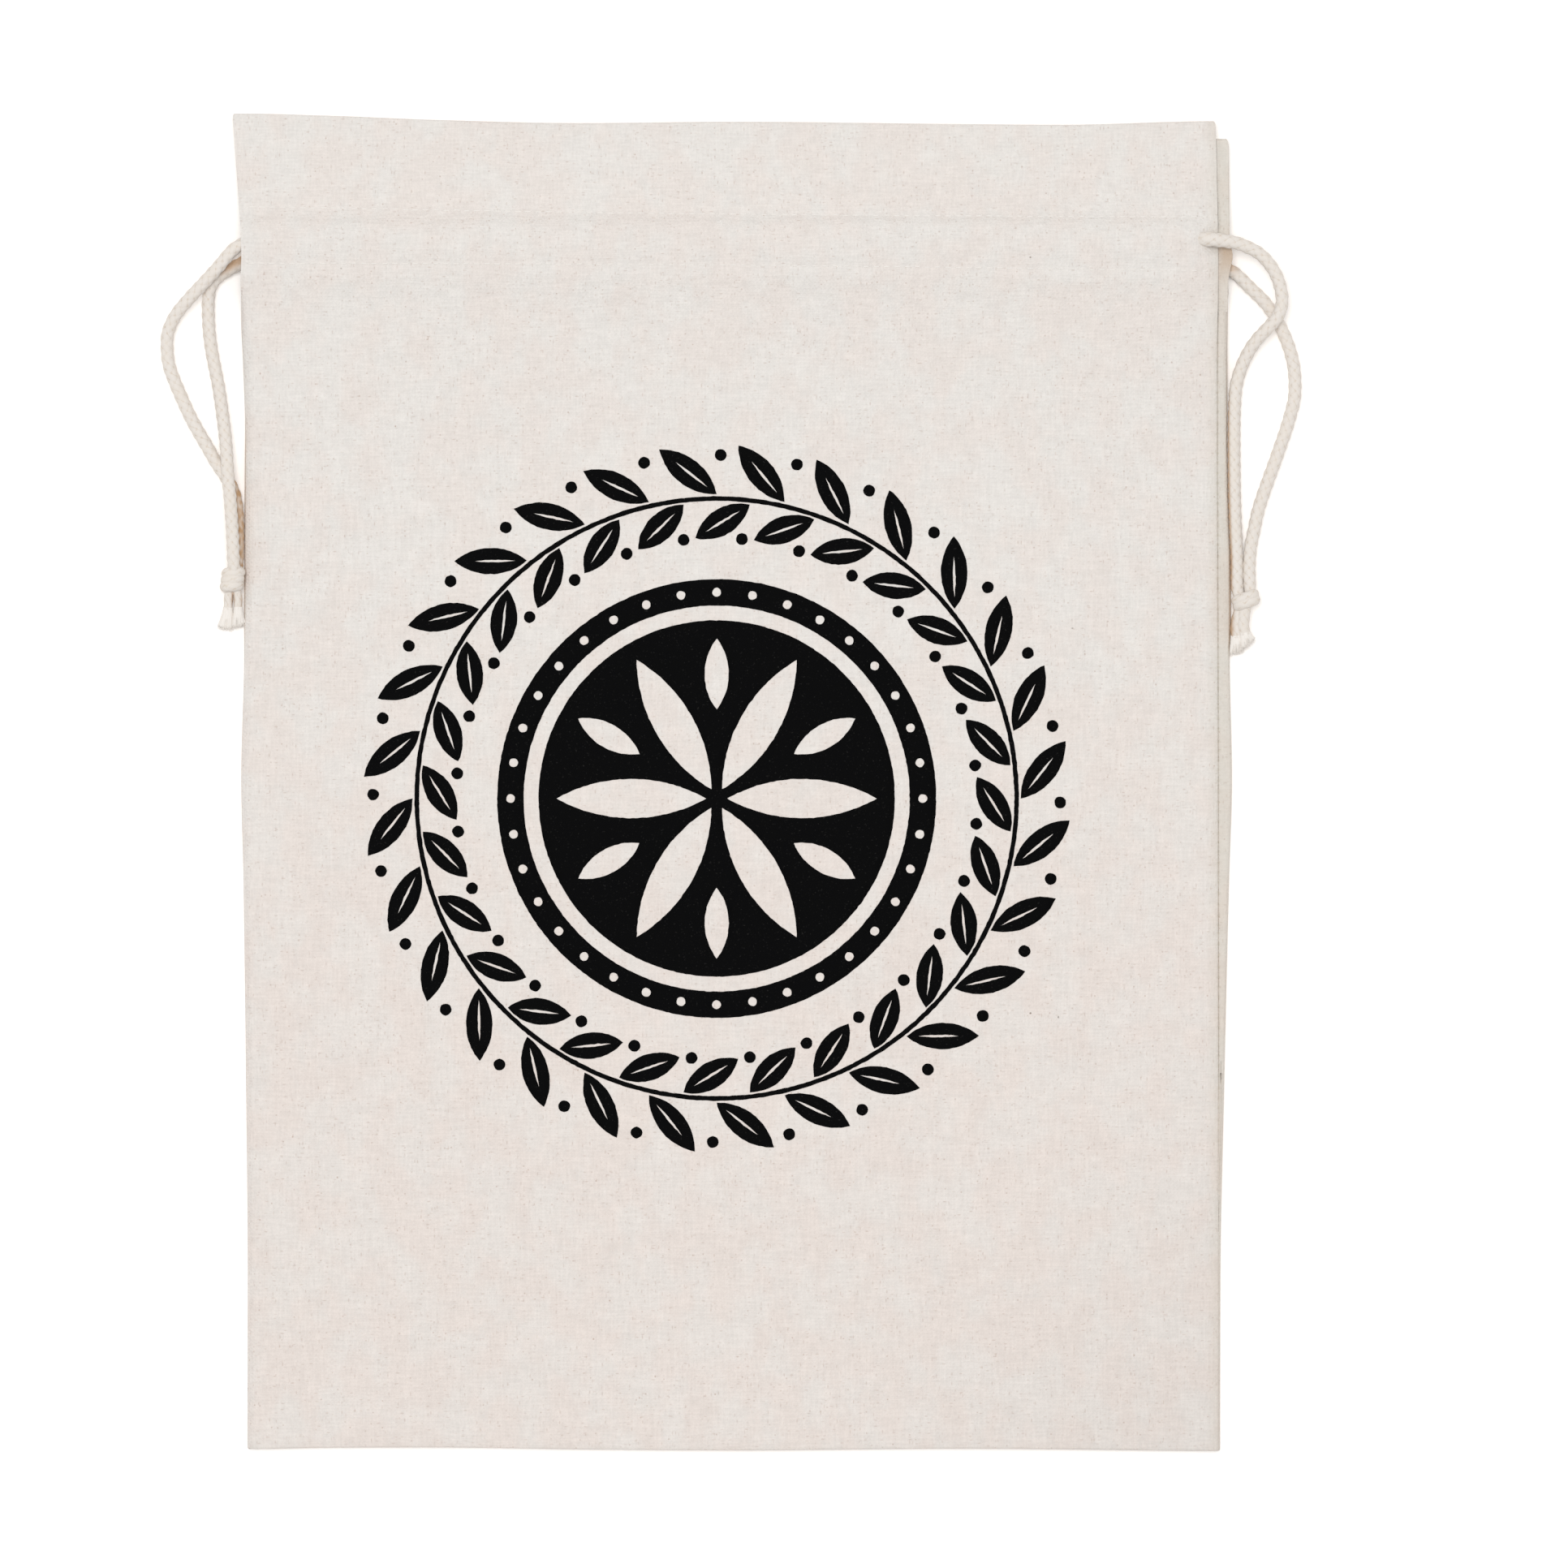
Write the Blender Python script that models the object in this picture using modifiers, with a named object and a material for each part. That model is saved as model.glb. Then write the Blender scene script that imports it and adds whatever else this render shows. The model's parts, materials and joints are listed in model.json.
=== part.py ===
"""A drawstring bread bag that lies flat on its back, with its cords laid out beside it.

Metres, +Z up, +Y towards the mouth. The bag rests on z = 0, and the origin is the middle of
its underside. The tables are in millimetres, and MM turns them into metres.
"""

from collections import namedtuple
import math

import bmesh
import bpy
from mathutils import Matrix, Vector

MM = 0.001

# Cloth: its thickness, the air between layers that touch, and where the layers lie
CLOTH = 1.0
GAP = 0.3
BACK_HEIGHT = 0.5 * CLOTH

# Cord: braided cotton, pressed flatter where a channel holds it
CORD = 4.2
PRESSED_HEIGHT = 3.0
PRESSED_WIDTH = 4.8
CORD_BEVEL_RESOLUTION = 3
CORD_STEP = 4.0
RUN_STEP = 8.0
CURVE_STEPS = 24

# Where the bag's lines lie, up from the middle
BOTTOM = -202.2
MOUTH = 199.5
BACK_MOUTH = 194.2
FRONT_HEM_END = 149.5
BACK_HEM_END = 145.0
MOUTH_SHAPED_FROM = 174.0
BOTTOM_SHAPED_TO = -185.0

# Where the seams lie, and how far in from the cloth's sides its turned hem stops
SEAM_LEFT = -144.7
HEM_INSET = 0.8
HEM_INSET_LENGTH = 12.0
HEM_INSET_AT_CORDS = 7.5
CORDS_REACH_FROM = 168.0
CORDS_REACH_TO = 174.0
ROLL_WIDTH = 1.2
UNROLLED_WIDTH = 2.5
STRIP_SINKS_FROM = 112.0
STRIP_SUNK_AT = 133.0

# The grid that each panel is bent from
COLUMNS = 10
ROLL_COLUMNS = 5
STRIP_COLUMNS = 2
FOLD_STEPS = 4

# The slit at the front's right edge that a cord comes out of
SLIT_START = 140.8
SLIT_END = 152.0
SLIT_WIDTH = 4.9
SLIT_LOW = 7.0
SLIT_HIGH = 12.0
SLIT_Y = 164.3

# The bag's sides: the front panel's left fold, the back panel's right fold, and the seam
# between them that shows on the front
Side = namedtuple("Side", "y left right seam")
SIDES = (
    Side(y=-202.5, left=-147.0, right=147.9, seam=146.4),
    Side(y=-150.0, left=-146.9, right=148.0, seam=146.5),
    Side(y=-94.0, left=-147.4, right=149.1, seam=147.1),
    Side(y=-30.0, left=-148.2, right=150.6, seam=147.4),
    Side(y=1.0, left=-148.9, right=151.5, seam=147.4),
    Side(y=40.0, left=-148.0, right=151.1, seam=147.4),
    Side(y=90.0, left=-147.8, right=150.9, seam=147.2),
    Side(y=119.0, left=-148.3, right=150.6, seam=147.1),
    Side(y=150.0, left=-149.1, right=150.3, seam=147.2),
    Side(y=165.0, left=-149.0, right=150.4, seam=147.2),
    Side(y=180.0, left=-150.3, right=150.6, seam=147.0),
    Side(y=192.0, left=-151.2, right=150.5, seam=146.6),
    Side(y=200.5, left=-151.5, right=149.2, seam=146.4),
)

# How far the mouth and the bottom stray from a straight line
Edge = namedtuple("Edge", "x mouth bottom")
EDGES = (
    Edge(x=-151.0, mouth=2.7, bottom=0.0),
    Edge(x=-121.0, mouth=2.0, bottom=0.5),
    Edge(x=-91.0, mouth=0.8, bottom=0.6),
    Edge(x=-46.0, mouth=-0.2, bottom=0.0),
    Edge(x=0.0, mouth=0.2, bottom=-0.3),
    Edge(x=70.0, mouth=-0.5, bottom=0.2),
    Edge(x=100.0, mouth=-0.7, bottom=0.0),
    Edge(x=147.0, mouth=0.4, bottom=-0.5),
)

# How high the middle of each layer lies: flat below, and risen over the two cords
Height = namedtuple("Height", "y back_hem front_hem front")
HEIGHTS = (
    Height(y=95.0, back_hem=1.8, front_hem=4.8, front=1.8),
    Height(y=120.0, back_hem=1.8, front_hem=4.8, front=3.1),
    Height(y=144.0, back_hem=1.8, front_hem=4.8, front=5.3),
    Height(y=150.0, back_hem=3.1, front_hem=5.3, front=6.7),
    Height(y=153.0, back_hem=4.5, front_hem=6.1, front=7.5),
    Height(y=156.5, back_hem=5.1, front_hem=6.5, front=7.9),
    Height(y=160.0, back_hem=4.3, front_hem=5.8, front=8.4),
    Height(y=162.5, back_hem=3.0, front_hem=4.5, front=8.7),
    Height(y=164.5, back_hem=2.2, front_hem=3.7, front=8.8),
    Height(y=168.0, back_hem=1.8, front_hem=3.4, front=8.0),
    Height(y=172.0, back_hem=1.8, front_hem=4.4, front=5.8),
    Height(y=178.0, back_hem=1.8, front_hem=3.6, front=5.0),
    Height(y=188.0, back_hem=1.8, front_hem=3.1, front=4.4),
    Height(y=204.0, back_hem=1.8, front_hem=3.1, front=4.4),
)

# The grid's rows up the bag, closer together where the cloth bends
Band = namedtuple("Band", "stop steps")
BODY_BANDS = (
    Band(stop=-185.0, steps=2),
    Band(stop=95.0, steps=7),
    Band(stop=132.0, steps=3),
    Band(stop=150.0, steps=6),
    Band(stop=172.0, steps=9),
    Band(stop=180.0, steps=2),
)
HEADING_STEPS = 3

# Routes of the cords' held parts, through the two channels
Point = namedtuple("Point", "x y z")
FRONT_RUN = (
    Point(x=-149.2, y=162.2, z=6.3),
    Point(x=-147.3, y=162.95, z=6.3),
    Point(x=-142.0, y=164.4, z=6.3),
    Point(x=-130.0, y=164.5, z=6.3),
    Point(x=0.0, y=164.5, z=6.3),
    Point(x=139.0, y=164.5, z=6.3),
    Point(x=140.9, y=164.5, z=6.3),
)
BACK_RUN = (
    Point(x=-144.8, y=156.6, z=2.8),
    Point(x=-143.0, y=156.6, z=2.8),
    Point(x=0.0, y=156.6, z=2.8),
    Point(x=148.0, y=156.6, z=2.8),
    Point(x=149.8, y=156.6, z=2.8),
)

# Routes of the cords' free ends, from the channels to the knots
LEFT_FRONT = (
    Point(x=-149.5, y=162.08, z=6.3),
    Point(x=-151.1, y=161.4, z=6.3),
    Point(x=-153.6, y=159.1, z=6.4),
    Point(x=-157.2, y=154.2, z=6.4),
    Point(x=-163.1, y=147.2, z=5.4),
    Point(x=-167.3, y=142.7, z=4.0),
    Point(x=-170.2, y=138.0, z=2.8),
    Point(x=-171.2, y=132.6, z=2.2),
    Point(x=-170.7, y=127.4, z=2.1),
    Point(x=-169.0, y=121.5, z=2.1),
    Point(x=-164.1, y=111.4, z=2.1),
    Point(x=-160.2, y=104.3, z=2.1),
    Point(x=-156.7, y=97.9, z=2.1),
    Point(x=-154.4, y=91.5, z=2.1),
    Point(x=-152.6, y=85.1, z=2.1),
    Point(x=-151.4, y=78.6, z=2.1),
    Point(x=-150.7, y=71.6, z=2.1),
    Point(x=-150.6, y=66.2, z=2.2),
)
LEFT_BACK = (
    Point(x=-145.1, y=156.6, z=2.8),
    Point(x=-146.6, y=156.6, z=2.8),
    Point(x=-149.8, y=155.9, z=2.6),
    Point(x=-153.1, y=154.1, z=2.3),
    Point(x=-155.9, y=151.5, z=2.1),
    Point(x=-157.8, y=148.0, z=2.1),
    Point(x=-158.5, y=143.7, z=2.1),
    Point(x=-158.2, y=138.7, z=2.1),
    Point(x=-157.2, y=132.6, z=2.1),
    Point(x=-156.3, y=126.0, z=2.15),
    Point(x=-155.2, y=117.8, z=2.5),
    Point(x=-154.0, y=109.2, z=3.3),
    Point(x=-152.9, y=101.6, z=4.5),
    Point(x=-151.7, y=93.6, z=5.7),
    Point(x=-150.7, y=86.6, z=6.4),
    Point(x=-150.0, y=79.2, z=6.65),
    Point(x=-149.6, y=71.6, z=6.6),
    Point(x=-149.6, y=66.2, z=6.3),
)
RIGHT_FRONT = (
    Point(x=141.2, y=164.5, z=6.35),
    Point(x=142.6, y=164.5, z=6.5),
    Point(x=145.8, y=164.2, z=7.5),
    Point(x=149.1, y=163.7, z=8.0),
    Point(x=152.5, y=163.0, z=8.0),
    Point(x=155.7, y=162.0, z=7.7),
    Point(x=159.2, y=160.2, z=7.3),
    Point(x=162.4, y=157.4, z=7.0),
    Point(x=164.7, y=153.6, z=6.8),
    Point(x=166.1, y=149.4, z=6.8),
    Point(x=166.4, y=145.0, z=6.8),
    Point(x=165.1, y=141.0, z=6.8),
    Point(x=162.4, y=137.6, z=6.4),
    Point(x=158.8, y=134.1, z=5.1),
    Point(x=155.5, y=130.1, z=3.5),
    Point(x=153.6, y=125.2, z=2.5),
    Point(x=153.1, y=119.5, z=2.1),
    Point(x=153.2, y=107.5, z=2.1),
    Point(x=153.4, y=93.0, z=2.1),
    Point(x=153.5, y=78.5, z=2.1),
    Point(x=153.6, y=66.0, z=2.4),
    Point(x=153.8, y=58.6, z=3.0),
)
RIGHT_BACK = (
    Point(x=150.1, y=156.6, z=2.8),
    Point(x=151.6, y=156.5, z=2.8),
    Point(x=153.9, y=155.1, z=2.6),
    Point(x=156.4, y=152.0, z=2.3),
    Point(x=158.7, y=148.8, z=2.1),
    Point(x=161.9, y=144.9, z=2.1),
    Point(x=164.8, y=140.7, z=2.1),
    Point(x=167.3, y=136.0, z=2.1),
    Point(x=169.5, y=129.9, z=2.1),
    Point(x=170.7, y=122.3, z=2.1),
    Point(x=170.2, y=114.9, z=2.1),
    Point(x=168.5, y=107.5, z=2.1),
    Point(x=166.2, y=100.4, z=2.1),
    Point(x=163.8, y=93.2, z=2.1),
    Point(x=161.6, y=85.9, z=2.1),
    Point(x=159.8, y=78.7, z=2.1),
    Point(x=158.6, y=71.6, z=2.2),
    Point(x=158.1, y=64.2, z=2.6),
    Point(x=158.0, y=59.4, z=3.0),
)

# The cord is drawn thinner where it meets a channel and where a knot grips it
GRIPPED = 0.88
GRIP_REACH = 6.0

# The knots: a slanted turn of cord round a core, the strands' last stubs above it, and two
# tails below it whose ends spread
KNOT_TURN_RADIUS = 2.1
KNOT_TURN_CORD = 1.8
KNOT_FLATNESS = 0.9
CORE_ABOVE_FLOOR = 0.25
TAIL_SPREAD = 1.12
Knot = namedtuple("Knot", "name x y z slant core_width core_length")
KNOTS = (
    Knot(name="knot_left", x=-151.0, y=61.2, z=4.3, slant=-6.0, core_width=3.0, core_length=4.6),
    Knot(name="knot_right", x=155.9, y=54.9, z=3.52, slant=14.0, core_width=3.6, core_length=3.4),
)
Leg = namedtuple("Leg", "knot x_start y_start z_start x_end y_end z_end spread")
LEGS = (
    Leg("knot_left", -151.2, 61.0, 3.0, -150.6, 65.9, 2.25, GRIPPED),
    Leg("knot_left", -150.4, 61.0, 5.4, -149.6, 65.9, 6.25, GRIPPED),
    Leg("knot_left", -151.6, 61.0, 3.4, -153.9, 46.2, 2.4, TAIL_SPREAD),
    Leg("knot_left", -150.8, 61.0, 3.8, -150.9, 46.9, 2.4, TAIL_SPREAD),
    Leg("knot_right", 154.2, 54.5, 3.2, 153.8, 58.3, 3.0, GRIPPED),
    Leg("knot_right", 157.4, 55.0, 3.2, 158.0, 59.1, 3.0, GRIPPED),
    Leg("knot_right", 154.6, 55.0, 3.2, 154.2, 39.4, 2.4, TAIL_SPREAD),
    Leg("knot_right", 155.8, 55.0, 4.2, 156.6, 41.6, 3.2, TAIL_SPREAD),
)
LEG_STRAIGHT_END = 1.5

CLOTH_COLOUR = (0.79, 0.74, 0.68, 1.0)
CORD_COLOUR = (0.82, 0.76, 0.68, 1.0)


def clear_scene():
    """Remove everything that the file opens with."""
    for thing in list(bpy.data.objects):
        bpy.data.objects.remove(thing, do_unlink=True)


def material(name, colour, roughness):
    """Return a Principled material in one plain finish."""
    finish = bpy.data.materials.new(name)
    finish.use_nodes = True
    shader = finish.node_tree.nodes["Principled BSDF"]
    shader.inputs["Base Color"].default_value = colour
    shader.inputs["Roughness"].default_value = roughness
    shader.inputs["Metallic"].default_value = 0.0
    finish.diffuse_color = colour
    return finish


def smooth_step(start, stop, at):
    """Rise smoothly from 0 at start to 1 at stop."""
    part = min(1.0, max(0.0, (at - start) / (stop - start)))
    return part * part * (3.0 - 2.0 * part)


def read_table(rows, along, column, at):
    """Read a column between a table's rows with a smooth curve that never overshoots them."""
    places = [getattr(row, along) for row in rows]
    values = [getattr(row, column) for row in rows]
    if at <= places[0]:
        return values[0]
    if at >= places[-1]:
        return values[-1]
    steps = [b - a for a, b in zip(places, places[1:])]
    rises = [(b - a) / step for a, b, step in zip(values, values[1:], steps)]
    slopes = [0.0]
    for before, after in zip(rises, rises[1:]):
        slopes.append(2.0 * before * after / (before + after) if before * after > 0.0 else 0.0)
    slopes.append(0.0)
    k = max(i for i in range(len(steps)) if places[i] <= at)
    t = (at - places[k]) / steps[k]
    return (
        (2 * t**3 - 3 * t**2 + 1) * values[k]
        + (t**3 - 2 * t**2 + t) * steps[k] * slopes[k]
        + (3 * t**2 - 2 * t**3) * values[k + 1]
        + (t**3 - t**2) * steps[k] * slopes[k + 1]
    )


def side(column, y):
    """Return where one of the bag's sides or seams lies at a height up the bag."""
    return read_table(SIDES, "y", column, y)


def height(column, y):
    """Return how high the middle of one layer of cloth lies."""
    return read_table(HEIGHTS, "y", column, y)


def strip_height(y):
    """Return how high the back's rolled strip lies: level with the front, then on the back."""
    sunk = smooth_step(STRIP_SINKS_FROM, STRIP_SUNK_AT, y)
    return height("front", y) * (1.0 - sunk) + (BACK_HEIGHT + CLOTH + GAP) * sunk


def shaped(x, y):
    """Shift a point of the cloth up or down, so that the mouth and the bottom are uneven."""
    up = read_table(EDGES, "x", "mouth", x) * smooth_step(MOUTH_SHAPED_FROM, MOUTH, y)
    down = read_table(EDGES, "x", "bottom", x) * smooth_step(BOTTOM_SHAPED_TO, BOTTOM, y)
    return y + up + down


def rows_up(mouth):
    """Return the heights of a panel's grid rows, from its bottom to its mouth."""
    rows = [BOTTOM]
    for band in BODY_BANDS + (Band(stop=mouth, steps=HEADING_STEPS),):
        start = rows[-1]
        rows += [start + (band.stop - start) * i / band.steps for i in range(1, band.steps + 1)]
    return rows


class Panel:
    """One cut of cloth: up the bag, over the mouth's fold and down inside as the channel's back.

    One of its sides rolls over to the seam on the bag's other face, and unrolls at the channel.
    """

    def __init__(self, name, outer, hem, mouth, hem_end, rolled, unroll_from, unroll_to):
        self.name = name
        self.outer = outer
        self.hem = hem
        self.mouth = mouth
        self.hem_end = hem_end
        self.rolled = rolled
        self.unroll_from = unroll_from
        self.unroll_to = unroll_to

    def stations(self):
        """List (y, z, inset) along the panel's section, inset telling the hem from the outside."""
        fold = 0.5 * abs(self.outer(self.mouth) - self.hem(self.mouth))
        middle = 0.5 * (self.outer(self.mouth) + self.hem(self.mouth))
        swing = 0.5 * (self.outer(self.mouth) - self.hem(self.mouth))
        rows = rows_up(self.mouth - fold)
        section = [(y, self.outer(y), 0.0) for y in rows]
        for step in range(1, FOLD_STEPS):
            angle = math.pi * step / FOLD_STEPS
            y = self.mouth - fold + fold * math.sin(angle)
            section.append((y, middle + swing * math.cos(angle), 0.0))
        hem_rows = [y for y in reversed(rows) if y > self.hem_end] + [self.hem_end]
        section += [(y, self.hem(y), 1.0) for y in hem_rows]
        return section

    def roll_amount(self, y, inset):
        """Return 1 where the side is rolled over to the seam and 0 where it lies flat."""
        return 0.0 if inset else 1.0 - smooth_step(self.unroll_from, self.unroll_to, y)

    def plain_edge(self, y):
        """Return where the side that ends at its own seam lies."""
        if self.rolled < 0:
            return side("seam", y) - 0.5 * GAP
        return SEAM_LEFT + 0.5 * GAP

    def seam_edge(self, y):
        """Return where the rolled strip ends, across the seam from the other panel."""
        if self.rolled < 0:
            return SEAM_LEFT - 0.5 * GAP
        return side("seam", y) + 0.5 * GAP

    def rolled_edge(self, y):
        """Return how far out the side that rolls over reaches."""
        return side("left" if self.rolled < 0 else "right", y)

    def across(self, y, z, inset):
        """Return the (x, z) points of one grid row, from the plain side to the rolled side."""
        turn = self.rolled
        ease = smooth_step(self.mouth, self.mouth - HEM_INSET_LENGTH, y) * inset
        at_cords = smooth_step(CORDS_REACH_TO, CORDS_REACH_FROM, y)
        plain_in = ease * HEM_INSET
        rolled_in = ease * (HEM_INSET + (HEM_INSET_AT_CORDS - HEM_INSET) * at_cords)
        if turn > 0:
            rolled_in = plain_in
        far = BACK_HEIGHT if turn < 0 else strip_height(y)
        flat_edge = self.rolled_edge(y) - turn * rolled_in
        out = self.rolled_edge(y) - turn * 0.5 * CLOTH
        reach = min(ROLL_WIDTH, 0.5 * abs(far - z)) if not inset else ROLL_WIDTH
        roll = self.roll_amount(y, inset)
        start = self.plain_edge(y) + turn * plain_in
        stop = (flat_edge - turn * UNROLLED_WIDTH) * (1.0 - roll) + (out - turn * reach) * roll
        points = [(start + (stop - start) * i / COLUMNS, z) for i in range(COLUMNS + 1)]
        count = ROLL_COLUMNS + STRIP_COLUMNS
        for k in range(1, count + 1):
            flat_x = flat_edge - turn * UNROLLED_WIDTH * (1.0 - k / count)
            if k <= ROLL_COLUMNS:
                angle = math.pi * k / ROLL_COLUMNS
                bent_x = out - turn * reach * (1.0 - math.sin(angle))
                bent_z = 0.5 * (z + far) + 0.5 * (z - far) * math.cos(angle)
            else:
                part = (k - ROLL_COLUMNS) / STRIP_COLUMNS
                edge = out - turn * reach
                end = self.seam_edge(y)
                end = min(end, edge - GAP) if turn > 0 else max(end, edge + GAP)
                bent_x = edge + (end - edge) * part
                bent_z = far
            points.append((flat_x + (bent_x - flat_x) * roll, z + (bent_z - z) * roll))
        return points

    def build(self, finish, collection):
        """Bend a flat grid into the panel and give it the cloth's thickness."""
        section = self.stations()
        across = COLUMNS + ROLL_COLUMNS + STRIP_COLUMNS
        along = len(section) - 1
        mesh = bmesh.new()
        bmesh.ops.create_grid(mesh, x_segments=across, y_segments=along, size=1.0)
        table = [self.across(y, z, inset) for y, z, inset in section]
        for vertex in mesh.verts:
            i = round((vertex.co.x + 1.0) * 0.5 * across)
            j = round((vertex.co.y + 1.0) * 0.5 * along)
            x, z = table[j][i]
            vertex.co = Vector((x, shaped(x, section[j][0]), z)) * MM
        thing = object_from(self.name, mesh, finish, collection)
        shell = thing.modifiers.new("cloth", "SOLIDIFY")
        shell.thickness = CLOTH * MM
        shell.offset = 0.0
        return thing


def object_from(name, mesh, finish, collection):
    """Turn a bmesh into a named object with one material."""
    data = bpy.data.meshes.new(name)
    mesh.to_mesh(data)
    mesh.free()
    data.materials.append(finish)
    thing = bpy.data.objects.new(name, data)
    collection.objects.link(thing)
    return thing


def smooth_route(points, step):
    """Read points every step along a smooth curve through a route's own points."""
    places = [Vector(p) for p in points]
    ends = [2 * places[0] - places[1]] + places + [2 * places[-1] - places[-2]]
    fine = []
    for a, b, c, d in zip(ends, ends[1:], ends[2:], ends[3:]):
        for k in range(CURVE_STEPS):
            t = k / CURVE_STEPS
            fine.append(
                0.5
                * (
                    2 * b
                    + (c - a) * t
                    + (2 * a - 5 * b + 4 * c - d) * t**2
                    + (3 * b - a - 3 * c + d) * t**3
                )
            )
    fine.append(places[-1])
    travelled = [0.0]
    for a, b in zip(fine, fine[1:]):
        travelled.append(travelled[-1] + (b - a).length)
    count = max(2, round(travelled[-1] / step))
    route = []
    k = 0
    for i in range(count + 1):
        want = travelled[-1] * i / count
        while k < len(fine) - 2 and travelled[k + 1] < want:
            k += 1
        part = (want - travelled[k]) / (travelled[k + 1] - travelled[k])
        route.append(fine[k].lerp(fine[k + 1], part))
    return route


def tube(name, route, radius, scales, finish, collection):
    """Make a cord's round tube as a curve with filled caps."""
    data = bpy.data.curves.new(name, "CURVE")
    data.dimensions = "3D"
    data.bevel_depth = radius * MM
    data.bevel_resolution = CORD_BEVEL_RESOLUTION
    data.use_fill_caps = True
    spline = data.splines.new("POLY")
    spline.points.add(len(route) - 1)
    for point, place, scale in zip(spline.points, route, scales):
        point.co = (*(place * MM), 1.0)
        point.radius = scale
    data.materials.append(finish)
    thing = bpy.data.objects.new(name, data)
    collection.objects.link(thing)
    return thing


def as_mesh(thing, collection):
    """Replace a curve object by its welded mesh."""
    depsgraph = bpy.context.evaluated_depsgraph_get()
    data = bpy.data.meshes.new_from_object(thing.evaluated_get(depsgraph))
    name = thing.name
    finish = data.materials[0]
    bpy.data.objects.remove(thing, do_unlink=True)
    mesh = bmesh.new()
    mesh.from_mesh(data)
    bmesh.ops.remove_doubles(mesh, verts=mesh.verts, dist=0.0001 * MM)
    return object_from(name, mesh, finish, collection)


def free_strand(name, points, finish, collection):
    """Make one free end of a drawcord, thinner at its two held ends."""
    route = [Vector(points[0])] + smooth_route(points[1:], CORD_STEP)
    last = len(route) - 1
    scales = []
    for i in range(len(route)):
        away = min(i, last - i) * CORD_STEP
        scales.append(GRIPPED + (1.0 - GRIPPED) * smooth_step(0.0, GRIP_REACH, away))
    return tube(name, route, 0.5 * CORD, scales, finish, collection)


def held_run(name, points, finish, collection):
    """Make the part of a drawcord that a channel holds, pressed flatter than it is wide."""
    route = [Vector(points[0])] + smooth_route(points[1:-1], RUN_STEP) + [Vector(points[-1])]
    thing = tube(name, route, 0.5 * CORD, [1.0] * len(route), finish, collection)
    thing = as_mesh(thing, collection)
    for vertex in thing.data.vertices:
        place = vertex.co / MM
        nearest = min(range(len(route)), key=lambda i: abs(route[i].x - place.x))
        low = max(0, min(nearest, len(route) - 2))
        a, b = route[low], route[low + 1]
        part = min(1.0, max(0.0, (place.x - a.x) / (b.x - a.x)))
        middle = a.lerp(b, part)
        vertex.co.y = (middle.y + (place.y - middle.y) * PRESSED_WIDTH / CORD) * MM
        vertex.co.z = (middle.z + (place.z - middle.z) * PRESSED_HEIGHT / CORD) * MM
    return thing


def cutter(thing):
    """Mark an object as one that only cuts or joins."""
    thing.hide_render = True
    thing.display_type = "WIRE"
    return thing


def combine(thing, other, operation):
    """Cut an object by another, or join the other to it."""
    change = thing.modifiers.new(other.name, "BOOLEAN")
    change.operation = operation
    change.object = other
    change.solver = "EXACT"


def cut_slit(panel, finish, guides):
    """Cut the slit at the front's right edge, which runs out through the side."""
    mesh = bmesh.new()
    size = (SLIT_END - SLIT_START, SLIT_WIDTH, SLIT_HIGH - SLIT_LOW)
    middle = (0.5 * (SLIT_START + SLIT_END), SLIT_Y, 0.5 * (SLIT_LOW + SLIT_HIGH))
    place = Matrix.Translation(Vector(middle) * MM) @ Matrix.Diagonal((*(s * MM for s in size), 1.0))
    bmesh.ops.create_cube(mesh, size=1.0, matrix=place)
    combine(panel, cutter(object_from("slit", mesh, finish, guides)), "DIFFERENCE")


def build_knot(knot, finish, collection, guides):
    """Make a knot: a core, a slanted turn of cord round it, and the legs of its cords."""
    centre = Vector((knot.x, knot.y, knot.z))
    mesh = bmesh.new()
    size = Vector((knot.core_width, knot.core_length, knot.z - CORE_ABOVE_FLOOR))
    place = Matrix.Translation(centre * MM) @ Matrix.Diagonal((*(size * MM), 1.0))
    bmesh.ops.create_uvsphere(mesh, u_segments=16, v_segments=9, radius=1.0, matrix=place)
    core = object_from(knot.name, mesh, finish, collection)
    bpy.ops.mesh.primitive_torus_add(
        major_segments=20,
        minor_segments=10,
        major_radius=KNOT_TURN_RADIUS * MM,
        minor_radius=KNOT_TURN_CORD * MM,
    )
    turn = bpy.context.object
    turn.name = knot.name + "_turn"
    upright = Matrix.Rotation(math.radians(90.0), 4, "X")
    slanted = Matrix.Rotation(math.radians(knot.slant), 4, "Z")
    flat = Matrix.Diagonal((1.0, 1.0, KNOT_FLATNESS, 1.0))
    turn.data.transform(Matrix.Translation(centre * MM) @ slanted @ flat @ upright)
    for owner in list(turn.users_collection):
        owner.objects.unlink(turn)
    guides.objects.link(turn)
    combine(core, cutter(turn), "UNION")
    for number, leg in enumerate(row for row in LEGS if row.knot == knot.name):
        start = Vector((leg.x_start, leg.y_start, leg.z_start))
        end = Vector((leg.x_end, leg.y_end, leg.z_end))
        turned = end - Vector((0.0, math.copysign(LEG_STRAIGHT_END, end.y - start.y), 0.0))
        piece_name = f"{knot.name}_leg_{number}"
        scales = (GRIPPED, leg.spread, leg.spread)
        piece = tube(piece_name, (start, turned, end), 0.5 * CORD, scales, finish, guides)
        combine(core, cutter(as_mesh(piece, guides)), "UNION")
    return core


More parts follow.
